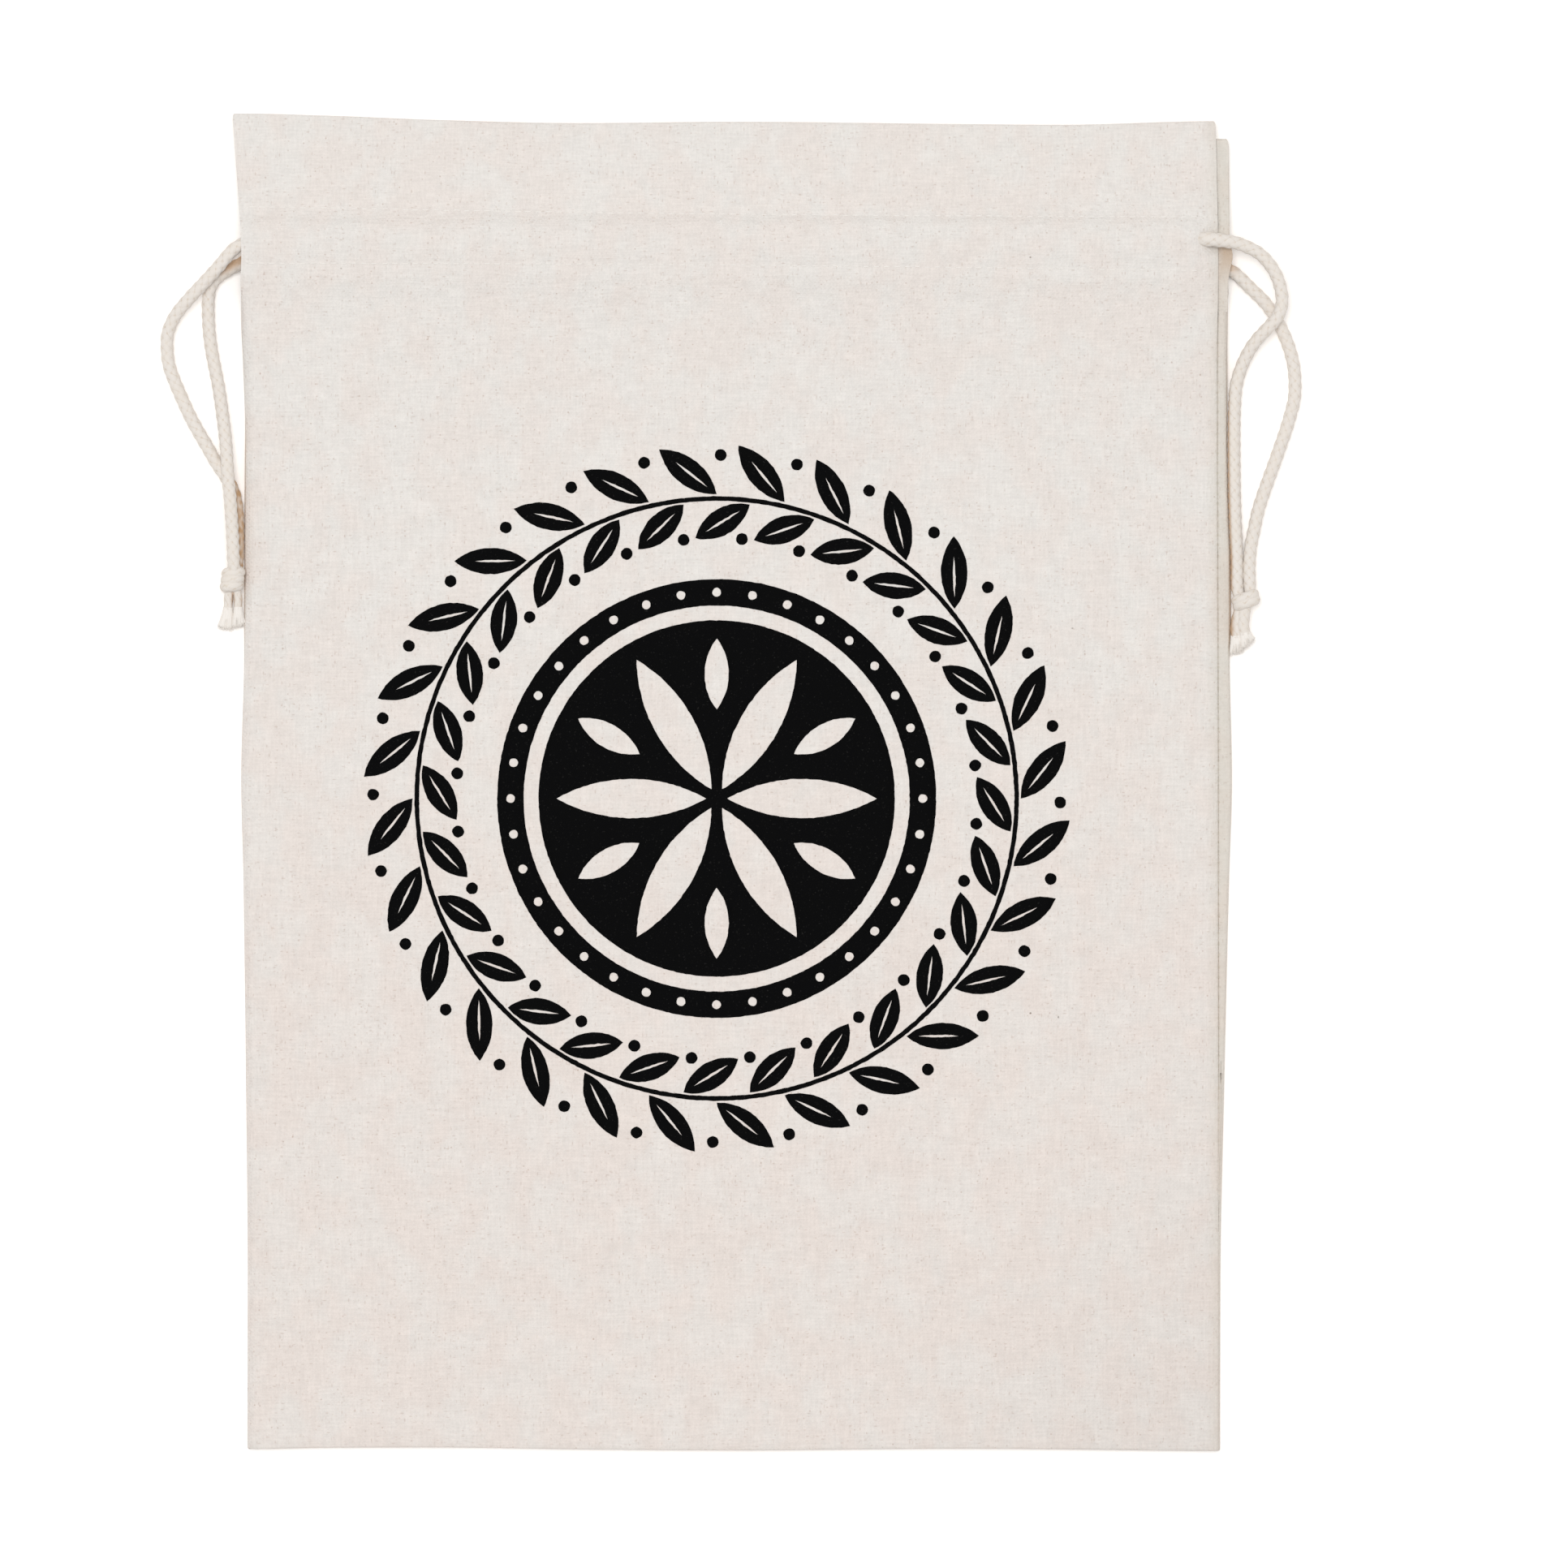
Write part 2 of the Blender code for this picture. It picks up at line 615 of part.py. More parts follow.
def main():
    """Build the bag, its cords and its knots."""
    clear_scene()
    scene = bpy.context.scene
    bag = bpy.data.collections.new("bread_bag")
    guides = bpy.data.collections.new("guides")
    scene.collection.children.link(bag)
    scene.collection.children.link(guides)
    linen = material("linen_cloth", CLOTH_COLOUR, 0.95)
    cotton = material("cotton_cord", CORD_COLOUR, 0.9)
    back = Panel(
        name="back_panel",
        outer=lambda y: BACK_HEIGHT,
        hem=lambda y: height("back_hem", y),
        mouth=BACK_MOUTH,
        hem_end=BACK_HEM_END,
        rolled=1,
        unroll_from=133.0,
        unroll_to=144.5,
    )
    front = Panel(
        name="front_panel",
        outer=lambda y: height("front", y),
        hem=lambda y: height("front_hem", y),
        mouth=MOUTH,
        hem_end=FRONT_HEM_END,
        rolled=-1,
        unroll_from=137.0,
        unroll_to=149.0,
    )
    back.build(linen, bag)
    cut_slit(front.build(linen, bag), linen, guides)
    held_run("cord_front_run", FRONT_RUN, cotton, bag)
    held_run("cord_back_run", BACK_RUN, cotton, bag)
    free_strand("strand_left_front", LEFT_FRONT, cotton, bag)
    free_strand("strand_left_back", LEFT_BACK, cotton, bag)
    free_strand("strand_right_front", RIGHT_FRONT, cotton, bag)
    free_strand("strand_right_back", RIGHT_BACK, cotton, bag)
    for knot in KNOTS:
        build_knot(knot, cotton, bag, guides)


main()
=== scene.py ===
"""The looks of a drawstring bread bag that lies flat on its back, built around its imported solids.

The tables are in millimetres, as in the bag's construction, and MM turns them into metres.
"""

import json
import logging
import math
import random
from dataclasses import dataclass
from enum import Enum
from typing import Any, Callable, Iterable, Sequence

import bmesh
import bpy
from bmesh.types import BMesh
from bpy.types import Material, NodeSocket, Object
from mathutils import Matrix, Vector, noise
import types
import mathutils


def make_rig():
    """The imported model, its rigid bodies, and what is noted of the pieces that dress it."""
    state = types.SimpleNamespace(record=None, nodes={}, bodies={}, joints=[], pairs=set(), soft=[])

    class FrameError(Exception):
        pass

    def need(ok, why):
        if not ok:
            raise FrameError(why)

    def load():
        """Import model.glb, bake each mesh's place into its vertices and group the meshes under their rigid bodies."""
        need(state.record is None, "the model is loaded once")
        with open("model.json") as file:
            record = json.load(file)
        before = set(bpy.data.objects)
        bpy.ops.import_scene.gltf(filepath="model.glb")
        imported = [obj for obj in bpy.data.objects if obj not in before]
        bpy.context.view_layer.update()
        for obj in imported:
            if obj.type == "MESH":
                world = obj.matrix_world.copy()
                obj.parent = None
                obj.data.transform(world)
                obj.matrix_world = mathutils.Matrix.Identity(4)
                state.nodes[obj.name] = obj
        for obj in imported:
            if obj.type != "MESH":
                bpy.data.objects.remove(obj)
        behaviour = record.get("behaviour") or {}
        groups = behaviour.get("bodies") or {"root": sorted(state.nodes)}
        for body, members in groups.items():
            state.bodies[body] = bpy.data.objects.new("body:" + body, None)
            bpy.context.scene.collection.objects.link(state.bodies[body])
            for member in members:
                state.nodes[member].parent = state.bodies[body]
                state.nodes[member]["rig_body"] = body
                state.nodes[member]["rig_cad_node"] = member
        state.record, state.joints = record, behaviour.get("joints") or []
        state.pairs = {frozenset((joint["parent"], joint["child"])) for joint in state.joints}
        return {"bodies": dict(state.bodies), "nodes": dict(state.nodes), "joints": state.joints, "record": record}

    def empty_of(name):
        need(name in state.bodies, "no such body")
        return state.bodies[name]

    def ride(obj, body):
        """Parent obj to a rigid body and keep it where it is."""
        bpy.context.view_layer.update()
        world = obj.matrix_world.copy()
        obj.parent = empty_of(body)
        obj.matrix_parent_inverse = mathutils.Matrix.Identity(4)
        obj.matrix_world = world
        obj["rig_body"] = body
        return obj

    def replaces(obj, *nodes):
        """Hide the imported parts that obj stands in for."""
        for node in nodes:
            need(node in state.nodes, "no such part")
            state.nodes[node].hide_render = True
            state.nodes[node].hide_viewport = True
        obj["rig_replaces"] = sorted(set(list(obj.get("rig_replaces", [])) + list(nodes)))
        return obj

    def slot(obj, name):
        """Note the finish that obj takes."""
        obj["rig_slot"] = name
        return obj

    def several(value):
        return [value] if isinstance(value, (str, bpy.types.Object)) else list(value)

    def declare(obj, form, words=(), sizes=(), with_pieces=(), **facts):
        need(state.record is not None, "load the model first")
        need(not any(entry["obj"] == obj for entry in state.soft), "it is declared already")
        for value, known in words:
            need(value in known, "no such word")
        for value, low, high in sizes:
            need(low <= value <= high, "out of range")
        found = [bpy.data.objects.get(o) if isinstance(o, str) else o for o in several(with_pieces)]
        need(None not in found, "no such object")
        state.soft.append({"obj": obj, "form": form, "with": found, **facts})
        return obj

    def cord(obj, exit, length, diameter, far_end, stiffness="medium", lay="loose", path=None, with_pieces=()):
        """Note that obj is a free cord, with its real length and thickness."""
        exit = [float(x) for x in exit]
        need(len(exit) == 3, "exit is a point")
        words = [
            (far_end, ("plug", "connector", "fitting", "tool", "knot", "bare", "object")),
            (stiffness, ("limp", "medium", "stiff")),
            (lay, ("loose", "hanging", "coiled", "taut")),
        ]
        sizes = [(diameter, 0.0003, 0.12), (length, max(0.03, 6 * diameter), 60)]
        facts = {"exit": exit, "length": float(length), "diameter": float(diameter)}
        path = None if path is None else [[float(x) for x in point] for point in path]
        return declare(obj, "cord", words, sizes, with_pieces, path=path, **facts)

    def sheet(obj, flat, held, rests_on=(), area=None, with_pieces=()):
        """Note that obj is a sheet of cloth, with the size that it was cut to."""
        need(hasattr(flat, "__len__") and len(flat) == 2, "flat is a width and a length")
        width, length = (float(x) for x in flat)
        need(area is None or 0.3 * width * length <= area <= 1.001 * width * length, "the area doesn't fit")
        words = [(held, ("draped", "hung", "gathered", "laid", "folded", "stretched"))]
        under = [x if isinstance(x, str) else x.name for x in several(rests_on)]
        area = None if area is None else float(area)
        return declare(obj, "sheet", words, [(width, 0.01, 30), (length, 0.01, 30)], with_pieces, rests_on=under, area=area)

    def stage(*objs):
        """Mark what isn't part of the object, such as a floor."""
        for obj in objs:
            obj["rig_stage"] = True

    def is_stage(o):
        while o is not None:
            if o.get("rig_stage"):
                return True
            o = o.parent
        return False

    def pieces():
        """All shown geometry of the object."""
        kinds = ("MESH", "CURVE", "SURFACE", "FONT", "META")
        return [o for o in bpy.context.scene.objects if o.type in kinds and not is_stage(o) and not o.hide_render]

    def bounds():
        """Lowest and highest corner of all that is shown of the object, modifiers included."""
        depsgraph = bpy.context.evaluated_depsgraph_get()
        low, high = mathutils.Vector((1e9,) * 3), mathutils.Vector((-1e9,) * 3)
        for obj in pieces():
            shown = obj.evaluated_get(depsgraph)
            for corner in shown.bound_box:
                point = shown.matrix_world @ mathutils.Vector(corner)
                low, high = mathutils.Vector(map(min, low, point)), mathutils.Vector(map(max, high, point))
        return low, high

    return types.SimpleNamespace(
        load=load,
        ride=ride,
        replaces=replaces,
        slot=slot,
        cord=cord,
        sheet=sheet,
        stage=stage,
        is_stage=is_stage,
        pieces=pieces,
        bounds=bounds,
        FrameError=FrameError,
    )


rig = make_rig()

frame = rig.load()

MM = 0.001
LOG = logging.getLogger("bread_bag")
BODY = "root"
WELD = 1e-6
BACK_LEVEL = 0.5
CORD_WIDTH = 4.2
LOOSE_LAY = 1.5
UNDERSIDE = 0.02
Colour = tuple[float, float, float, float]
Place = tuple[float, float, float]
Grain = tuple[float, float, float]


class Slot(Enum):
    """The record's material slots."""

    LINEN = "linen_cloth"
    COTTON = "cotton_cord"
    PRINT = "black_print"


class Face(Enum):
    """Which way a layer of cloth turns at its seams: the upper one down and the lower one up."""

    UPPER = 1
    LOWER = -1


@dataclass(frozen=True)
class Side:
    """The bag's sides at one height: the front's left fold, the back's right fold, the seam."""

    y: float
    left: float
    right: float
    seam: float


@dataclass(frozen=True)
class Edge:
    """How far the mouth and the bottom stray from a straight line at one place across."""

    x: float
    mouth: float
    bottom: float


@dataclass(frozen=True)
class Height:
    """How high the middle of each layer lies at one place up the bag."""

    y: float
    back_hem: float
    front_hem: float
    front: float
    strip: float


@dataclass(frozen=True)
class Band:
    """A stretch of grid rows, up to a place, at one spacing."""

    stop: float
    spacing: float


@dataclass(frozen=True)
class Crease:
    """A soft ridge or trough in the front, from one point to another."""

    x0: float
    y0: float
    x1: float
    y1: float
    width: float
    rise: float


SIDES = tuple(Side(*row) for row in (
    (-202.5, -147.0, 147.9, 147.5), (-150.0, -146.9, 148.0, 147.5), (-94.0, -147.4, 149.1, 147.5),
    (-30.0, -148.2, 150.6, 147.4), (1.0, -148.9, 151.5, 147.4), (40.0, -148.0, 150.8, 147.3),
    (47.0, -148.0, 151.2, 147.3), (66.0, -147.9, 151.15, 147.2), (76.0, -147.9, 150.65, 147.2),
    (95.0, -147.8, 150.2, 147.1), (107.0, -147.7, 150.1, 147.1), (127.0, -148.3, 150.1, 147.0),
    (140.0, -148.8, 150.2, 147.0), (152.0, -148.7, 150.4, 147.0), (156.5, -148.5, 151.3, 147.0),
    (160.0, -148.4, 151.8, 147.0), (165.0, -148.6, 150.6, 147.0), (180.0, -149.8, 150.6, 146.8),
    (192.0, -150.8, 150.5, 146.6), (200.5, -151.4, 150.2, 146.4),
))
EDGES = tuple(Edge(*row) for row in (
    (-151.0, 2.7, 0.0), (-121.0, 2.0, 0.5), (-91.0, 0.8, 0.6), (-46.0, -0.2, 0.0),
    (0.0, 0.2, -0.3), (70.0, -0.5, 0.2), (100.0, -0.7, 0.0), (147.0, 0.4, -0.5),
))
HEIGHTS = tuple(Height(*row) for row in (
    (-150.0, 1.8, 4.8, 1.8, 1.4), (-90.0, 1.8, 4.8, 1.8, 1.8), (95.0, 1.8, 4.8, 1.8, 1.8),
    (120.0, 1.8, 4.8, 3.1, 3.1), (144.0, 1.8, 4.8, 5.3, 4.6), (150.0, 3.1, 5.3, 6.7, 5.2),
    (153.0, 4.5, 6.1, 7.5, 5.5), (156.5, 5.1, 6.5, 7.9, 5.7), (160.0, 4.3, 5.8, 8.4, 5.4),
    (162.5, 3.0, 4.5, 8.7, 5.0), (164.5, 2.2, 3.7, 8.8, 4.9), (168.0, 1.8, 3.4, 8.0, 4.9),
    (172.0, 1.8, 4.4, 5.8, 4.2), (178.0, 1.7, 3.2, 4.5, 3.1), (188.0, 1.55, 2.6, 3.7, 2.5),
    (204.0, 1.55, 2.6, 3.7, 2.5),
))
CREASES = tuple(Crease(*row) for row in (
    (-120.0, 128.0, 60.0, 134.0, 11.0, -0.12), (-30.0, -196.0, 40.0, -150.0, 14.0, 0.10),
    (96.0, 150.0, 132.0, 96.0, 9.0, 0.14), (-141.0, 146.0, -118.0, 92.0, 9.0, 0.12),
    (118.0, -196.0, 138.0, -120.0, 12.0, -0.12), (-132.0, -190.0, -120.0, -60.0, 15.0, 0.10),
))


def smooth_step(start: float, stop: float, at: float) -> float:
    """Return how far a smooth rise from 0 at start to 1 at stop has come at a place."""
    part = min(1.0, max(0.0, (at - start) / (stop - start)))
    return part * part * (3.0 - 2.0 * part)


@dataclass(frozen=True)
class Step:
    """A smooth rise from 0 at start to 1 at stop, which may lie on either side of it."""

    start: float
    stop: float

    def at(self, place: float) -> float:
        """Return how far it has risen at a place."""
        return smooth_step(self.start, self.stop, place)


@dataclass(frozen=True)
class Window:
    """A stretch on which something rises, holds and falls again."""

    start: float
    full: float
    fading: float
    stop: float

    def share(self, at: float) -> float:
        """Return how much of it there is at a place, from 0 to 1."""
        return smooth_step(self.start, self.full, at) * smooth_step(self.stop, self.fading, at)


def read_table(rows: Sequence[Any], along: str, column: str, at: float) -> float:
    """Read a column between a table's rows with a smooth curve that never overshoots them.

    Args:
        rows: The table, in rising order.
        along: The column that holds each row's place.
        column: The column to read.
        at: The place to read it at.

    Returns:
        The column's value there.
    """
    places = [getattr(row, along) for row in rows]
    values = [getattr(row, column) for row in rows]
    if at <= places[0]:
        return values[0]
    if at >= places[-1]:
        return values[-1]
    steps = [b - a for a, b in zip(places, places[1:])]
    rises = [(b - a) / step for a, b, step in zip(values, values[1:], steps)]
    slopes = [0.0]
    for before, after in zip(rises, rises[1:]):
        slopes.append(2.0 * before * after / (before + after) if before * after > 0.0 else 0.0)
    slopes.append(0.0)
    k = max(i for i in range(len(steps)) if places[i] <= at)
    t = (at - places[k]) / steps[k]
    return (
        (2 * t**3 - 3 * t**2 + 1) * values[k]
        + (t**3 - 2 * t**2 + t) * steps[k] * slopes[k]
        + (3 * t**2 - 2 * t**3) * values[k + 1]
        + (t**3 - t**2) * steps[k] * slopes[k + 1]
    )


def direction(angle: float) -> Vector:
    """Return the flat direction at an angle."""
    return Vector((math.cos(angle), math.sin(angle)))


def grid_step(at: float, count: int) -> int:
    """Return the row or column of a grid's point, whose place runs from -1 to 1."""
    return round((at + 1.0) * 0.5 * count)


def linked(name: str, data: Any) -> Object:
    """Put new data in the scene as a named object.

    Args:
        name: The object's name.
        data: Its mesh, curve, camera or lamp.

    Returns:
        The object.
    """
    thing = bpy.data.objects.new(name, data)
    bpy.context.scene.collection.objects.link(thing)
    return thing


def fitted(thing: Object, slot: Slot, node: str = "") -> Object:
    """Let a piece ride on the bag's body, with its slot and its node.

    Args:
        thing: The piece.
        slot: Its material slot in the record.
        node: The node it stands for, if any.

    Returns:
        The piece.
    """
    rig.ride(thing, BODY)
    if node:
        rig.replaces(thing, node)
    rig.slot(thing, slot.value)
    return thing


def object_from(name: str, mesh: BMesh, finish: Material) -> Object:
    """Turn a bmesh into an object.

    Args:
        name: The object's name.
        mesh: The bmesh, which is freed.
        finish: The object's material.

    Returns:
        The object.
    """
    data = bpy.data.meshes.new(name)
    mesh.to_mesh(data)
    mesh.free()
    data.materials.append(finish)
    return linked(name, data)


def settled(thing: Object, sharp: float) -> Object:
    """Replace an object by its evaluated mesh, shaded smooth up to an angle.

    Args:
        thing: A curve, or a mesh with modifiers.
        sharp: The angle in degrees past which an edge stays sharp.

    Returns:
        A new mesh object of the same name.
    """
    depsgraph = bpy.context.evaluated_depsgraph_get()
    data = bpy.data.meshes.new_from_object(thing.evaluated_get(depsgraph))
    name = thing.name
    bpy.data.objects.remove(thing, do_unlink=True)
    data.shade_smooth()
    data.set_sharp_from_angle(angle=math.radians(sharp))
    return linked(name, data)


def smooth_route(points: Sequence[Vector], step: float) -> list[Vector]:
    """Read points at an even step along a smooth curve through a route's own points.

    Args:
        points: The route's own points.
        step: The distance between the points read.

    Returns:
        The points read, both ends included.
    """
    fine_steps = 24
    ends = [2 * points[0] - points[1], *points, 2 * points[-1] - points[-2]]
    fine = []
    for a, b, c, d in zip(ends, ends[1:], ends[2:], ends[3:]):
        for k in range(fine_steps):
            t = k / fine_steps
            bend = (2 * a - 5 * b + 4 * c - d) * t**2 + (3 * b - a - 3 * c + d) * t**3
            fine.append(0.5 * (2 * b + (c - a) * t + bend))
    fine.append(points[-1].copy())
    travelled = [0.0]
    for a, b in zip(fine, fine[1:]):
        travelled.append(travelled[-1] + (b - a).length)
    count = max(2, round(travelled[-1] / step))
    route = []
    k = 0
    for i in range(count + 1):
        want = travelled[-1] * i / count
        while k < len(fine) - 2 and travelled[k + 1] < want:
            k += 1
        part = (want - travelled[k]) / (travelled[k + 1] - travelled[k])
        route.append(fine[k].lerp(fine[k + 1], part))
    return route


class Signal:
    """A number that a shader works out, so that its maths reads as a Python expression."""

    def __init__(self, bench: "Bench", socket: NodeSocket) -> None:
        """Wrap a node's output."""
        self.bench = bench
        self.socket = socket

    def maths(self, operation: str, other: Any = 0.0, flipped: bool = False) -> "Signal":
        """Add a Math node of this number and another.

        Args:
            operation: What the node does.
            other: The other number.
            flipped: Whether the other comes first.

        Returns:
            The node's result.
        """
        pair = {0: other, 1: self} if flipped else {0: self, 1: other}
        node = self.bench.node("ShaderNodeMath", {"operation": operation}, pair)
        return Signal(self.bench, node.outputs[0])

    def __add__(self, other: Any) -> "Signal":
        """Return the sum."""
        return self.maths("ADD", other)

    __radd__ = __add__

    def __sub__(self, other: Any) -> "Signal":
        """Return the difference."""
        return self.maths("SUBTRACT", other)

    def __rsub__(self, other: Any) -> "Signal":
        """Return the other number less this one."""
        return self.maths("SUBTRACT", other, flipped=True)

    def __mul__(self, other: Any) -> "Signal":
        """Return the product."""
        return self.maths("MULTIPLY", other)

    __rmul__ = __mul__

    def __gt__(self, other: Any) -> "Signal":
        """Return 1 where this number is greater and 0 elsewhere."""
        return self.maths("GREATER_THAN", other)

    def sine(self) -> "Signal":
        """Return the sine."""
        return self.maths("SINE")

    def ramp(self, start: float, stop: float) -> "Signal":
        """Turn this number into a smooth rise from 0 to 1.

        Args:
            start: The number at which it is 0.
            stop: The number at which it is 1.

        Returns:
            The rise, from 0 to 1.
        """
        settings = {"interpolation_type": "SMOOTHSTEP"}
        sockets = {"Value": self, "From Min": start, "From Max": stop}
        node = self.bench.node("ShaderNodeMapRange", settings, sockets)
        return Signal(self.bench, node.outputs["Result"])


class Bench:
    """A material under construction."""

    def __init__(self, name: str) -> None:
        """Start a material with an empty node tree.

        Args:
            name: The material's name.
        """
        self.material = bpy.data.materials.new(name)
        self.material.use_nodes = True
        self.tree = self.material.node_tree
        self.tree.nodes.clear()

    def node(self, kind: str, settings: dict[str, Any], sockets: dict[Any, Any]) -> bpy.types.Node:
        """Add a node.

        Args:
            kind: The node's type.
            settings: Its own settings, which are set first.
            sockets: The values or links of its inputs, by name or number.

        Returns:
            The node.
        """
        node = self.tree.nodes.new(kind)
        for key, value in settings.items():
            setattr(node, key, value)
        for key, value in sockets.items():
            source = value.socket if isinstance(value, Signal) else value
            if isinstance(source, NodeSocket):
                self.tree.links.new(source, node.inputs[key])
            else:
                node.inputs[key].default_value = source
        return node

    def places(self) -> NodeSocket:
        """Return the point's place on its object, in metres."""
        return self.node("ShaderNodeTexCoord", {}, {}).outputs["Object"]

    def mapped(self, source: NodeSocket, scale: Sequence[float]) -> NodeSocket:
        """Scale a coordinate along each axis."""
        node = self.node("ShaderNodeMapping", {}, {"Vector": source, "Scale": scale})
        return node.outputs["Vector"]

    def noise(self, source: NodeSocket, scale: Sequence[float], detail: float) -> Signal:
        """Return noise from 0 to 1 with its own grain along each axis."""
        sockets = {"Vector": self.mapped(source, scale), "Scale": 1.0, "Detail": detail}
        return Signal(self, self.node("ShaderNodeTexNoise", {}, sockets).outputs["Fac"])

    def attribute(self, name: str) -> Signal:
        """Return a number that the mesh holds at its points."""
        return Signal(self, self.node("ShaderNodeAttribute", {"attribute_name": name}, {}).outputs["Fac"])

    def axis(self, source: NodeSocket, number: int) -> Signal:
        """Return a vector's part along X, Y or Z, numbered from 0."""
        return Signal(self, self.node("ShaderNodeSeparateXYZ", {}, {0: source}).outputs[number])

    def scaled(self, colour: Any, factor: Signal) -> NodeSocket:
        """Make a colour lighter or darker."""
        sockets = {0: colour, "Scale": factor}
        return self.node("ShaderNodeVectorMath", {"operation": "SCALE"}, sockets).outputs[0]

    def mixed(self, share: Any, first: Any, second: Any) -> NodeSocket:
        """Mix two colours."""
        sockets = {0: share, 6: first, 7: second}
        return self.node("ShaderNodeMix", {"data_type": "RGBA"}, sockets).outputs[2]

    def finish(self, colour: Any, height: Signal | None, distance: float, **constants: Any) -> None:
        """End the tree in a Principled shader.

        Args:
            colour: The base colour, four numbers or a socket.
            height: The surface's fine relief, or none.
            distance: How high that relief is, in metres.
            constants: The shader's own values by their names, with _ for a space.
        """
        sockets = {"Base Color": colour}
        for key, value in constants.items():
            sockets[key.replace("_", " ")] = value
        if height is not None:
            bump = self.node("ShaderNodeBump", {}, {"Height": height, "Distance": distance})
            sockets["Normal"] = bump.outputs["Normal"]
        shader = self.node("ShaderNodeBsdfPrincipled", {}, sockets)
        self.node("ShaderNodeOutputMaterial", {}, {"Surface": shader.outputs[0]})


@dataclass(frozen=True)
class FleckLayer:
    """One scatter of seed and stalk in the cloth's yarns, by the cell that each speck lies in."""

    cell_x: float
    cell_y: float
    bare: float
    size: float
    strength: float
    dark: bool = False
    core: float = 0.25
    least: float = 0.3

    def mask(self, bench: Bench, at: NodeSocket) -> Signal:
        """Return where the specks lie and how strong they are.

        Args:
            bench: The material's bench.
            at: The coordinate in metres.

        Returns:
            The mask from 0 to the layer's strength.
        """
        cell_z = min(self.cell_x, self.cell_y)
        stretch = tuple(1.0 / (cell * MM) for cell in (self.cell_x, self.cell_y, cell_z))
        sockets = {"Vector": bench.mapped(at, stretch), "Scale": 1.0}
        cells = bench.node("ShaderNodeTexVoronoi", {}, sockets)
        chance = bench.axis(cells.outputs["Color"], 0)
        depth = bench.axis(cells.outputs["Color"], 1)
        near = Signal(bench, cells.outputs["Distance"]).ramp(self.size, self.size * self.core)
        strong = depth * ((1.0 - self.least) * self.strength) + self.least * self.strength
        return near * (chance > self.bare) * strong


@dataclass(frozen=True)
class ClothFinish:
    """Unbleached cotton and linen in a plain weave, with slubs and flecks, and with painted shade beside the cords, at
    the seam's edges and towards the lower right.
    """

    name: str
    pink: Colour
    green: Colour
    seam: Colour
    fleck: Colour
    seed: Colour
    shade: Colour
    layers: tuple[FleckLayer, ...]
    yarn: float = 0.62
    slub: float = 5.5
    relief: float = 0.00012
    pucker: float = 3.1
    mottle_grain: Grain = (105.0, 75.0, 90.0)
    cloud_grain: Grain = (260.0, 230.0, 230.0)
    fine_grain: Grain = (1150.0, 1150.0, 1150.0)
    brightness: float = 0.915
    yarn_light: float = 0.045
    grain_light: float = 0.13
    cloud_light: float = 0.10
    # How far painted shade darkens the cloth towards its lower right corner.
    lower_right_shade_depth: float = 0.05

    def make(self) -> Material:
        """Build the material's nodes.

        Returns:
            The material.
        """
        bench = Bench(self.name)
        at = bench.places()
        across = 1.0 / (self.yarn * MM)
        along = 1.0 / (self.slub * MM)
        warp = bench.noise(at, (across, along, across), 3.0).ramp(0.3, 0.7)
        weft = bench.noise(at, (along, across, across), 3.0).ramp(0.3, 0.7)
        mottle = bench.noise(at, self.mottle_grain, 4.0).ramp(0.36, 0.62)
        cloud = bench.noise(at, self.cloud_grain, 3.0)
        grain = bench.noise(at, self.fine_grain, 3.0)
        # Painted shade: the cloth grows darker towards its lower right corner, where the light falls off.
        lower_right_shade = (bench.axis(at, 0) - bench.axis(at, 1)).ramp(0.20, 0.36)
        low = bench.axis(at, 1).ramp(0.08, -0.08)
        yarns = self.brightness + warp * self.yarn_light + weft * self.yarn_light
        grainy = yarns + (grain - 0.5) * self.grain_light
        light = grainy + (cloud - 0.5) * self.cloud_light - lower_right_shade * self.lower_right_shade_depth
        tone = bench.scaled(bench.mixed(mottle * 0.6 + low * 0.4, self.green, self.pink), light)
        for layer in self.layers:
            tone = bench.mixed(layer.mask(bench, at), tone, self.seed if layer.dark else self.fleck)
        # Painted fold shade along the front's right edge, and on the strip beside it a yellower tone that is partly
        # the cloth's own and partly painted shade under the front's edge.
        tone = bench.mixed(bench.attribute("tint"), tone, self.seam)
        pitch = math.tau / (self.pucker * MM)
        pricks = (bench.axis(at, 1) * pitch + mottle * 2.0).sine().ramp(0.35, 0.95)
        tone = bench.mixed(pricks * bench.attribute("sewn") * 0.2, tone, self.seam)
        # Painted shade: brown on the rolled sides beside the cords and the knot, and the painted shadow of a strand on
        # the strip.
        tone = bench.mixed(bench.attribute("shade"), tone, self.shade)
        wave = (bench.axis(at, 0) * (math.pi / (self.yarn * MM))).sine()
        wave = wave * (bench.axis(at, 1) * (math.pi / (self.yarn * MM))).sine()
        height = warp * 0.4 + weft * 0.4 + wave * 0.2 + grain * 0.2
        bench.finish(tone, height, self.relief, Roughness=0.95, Specular_IOR_Level=0.12)
        return bench.material


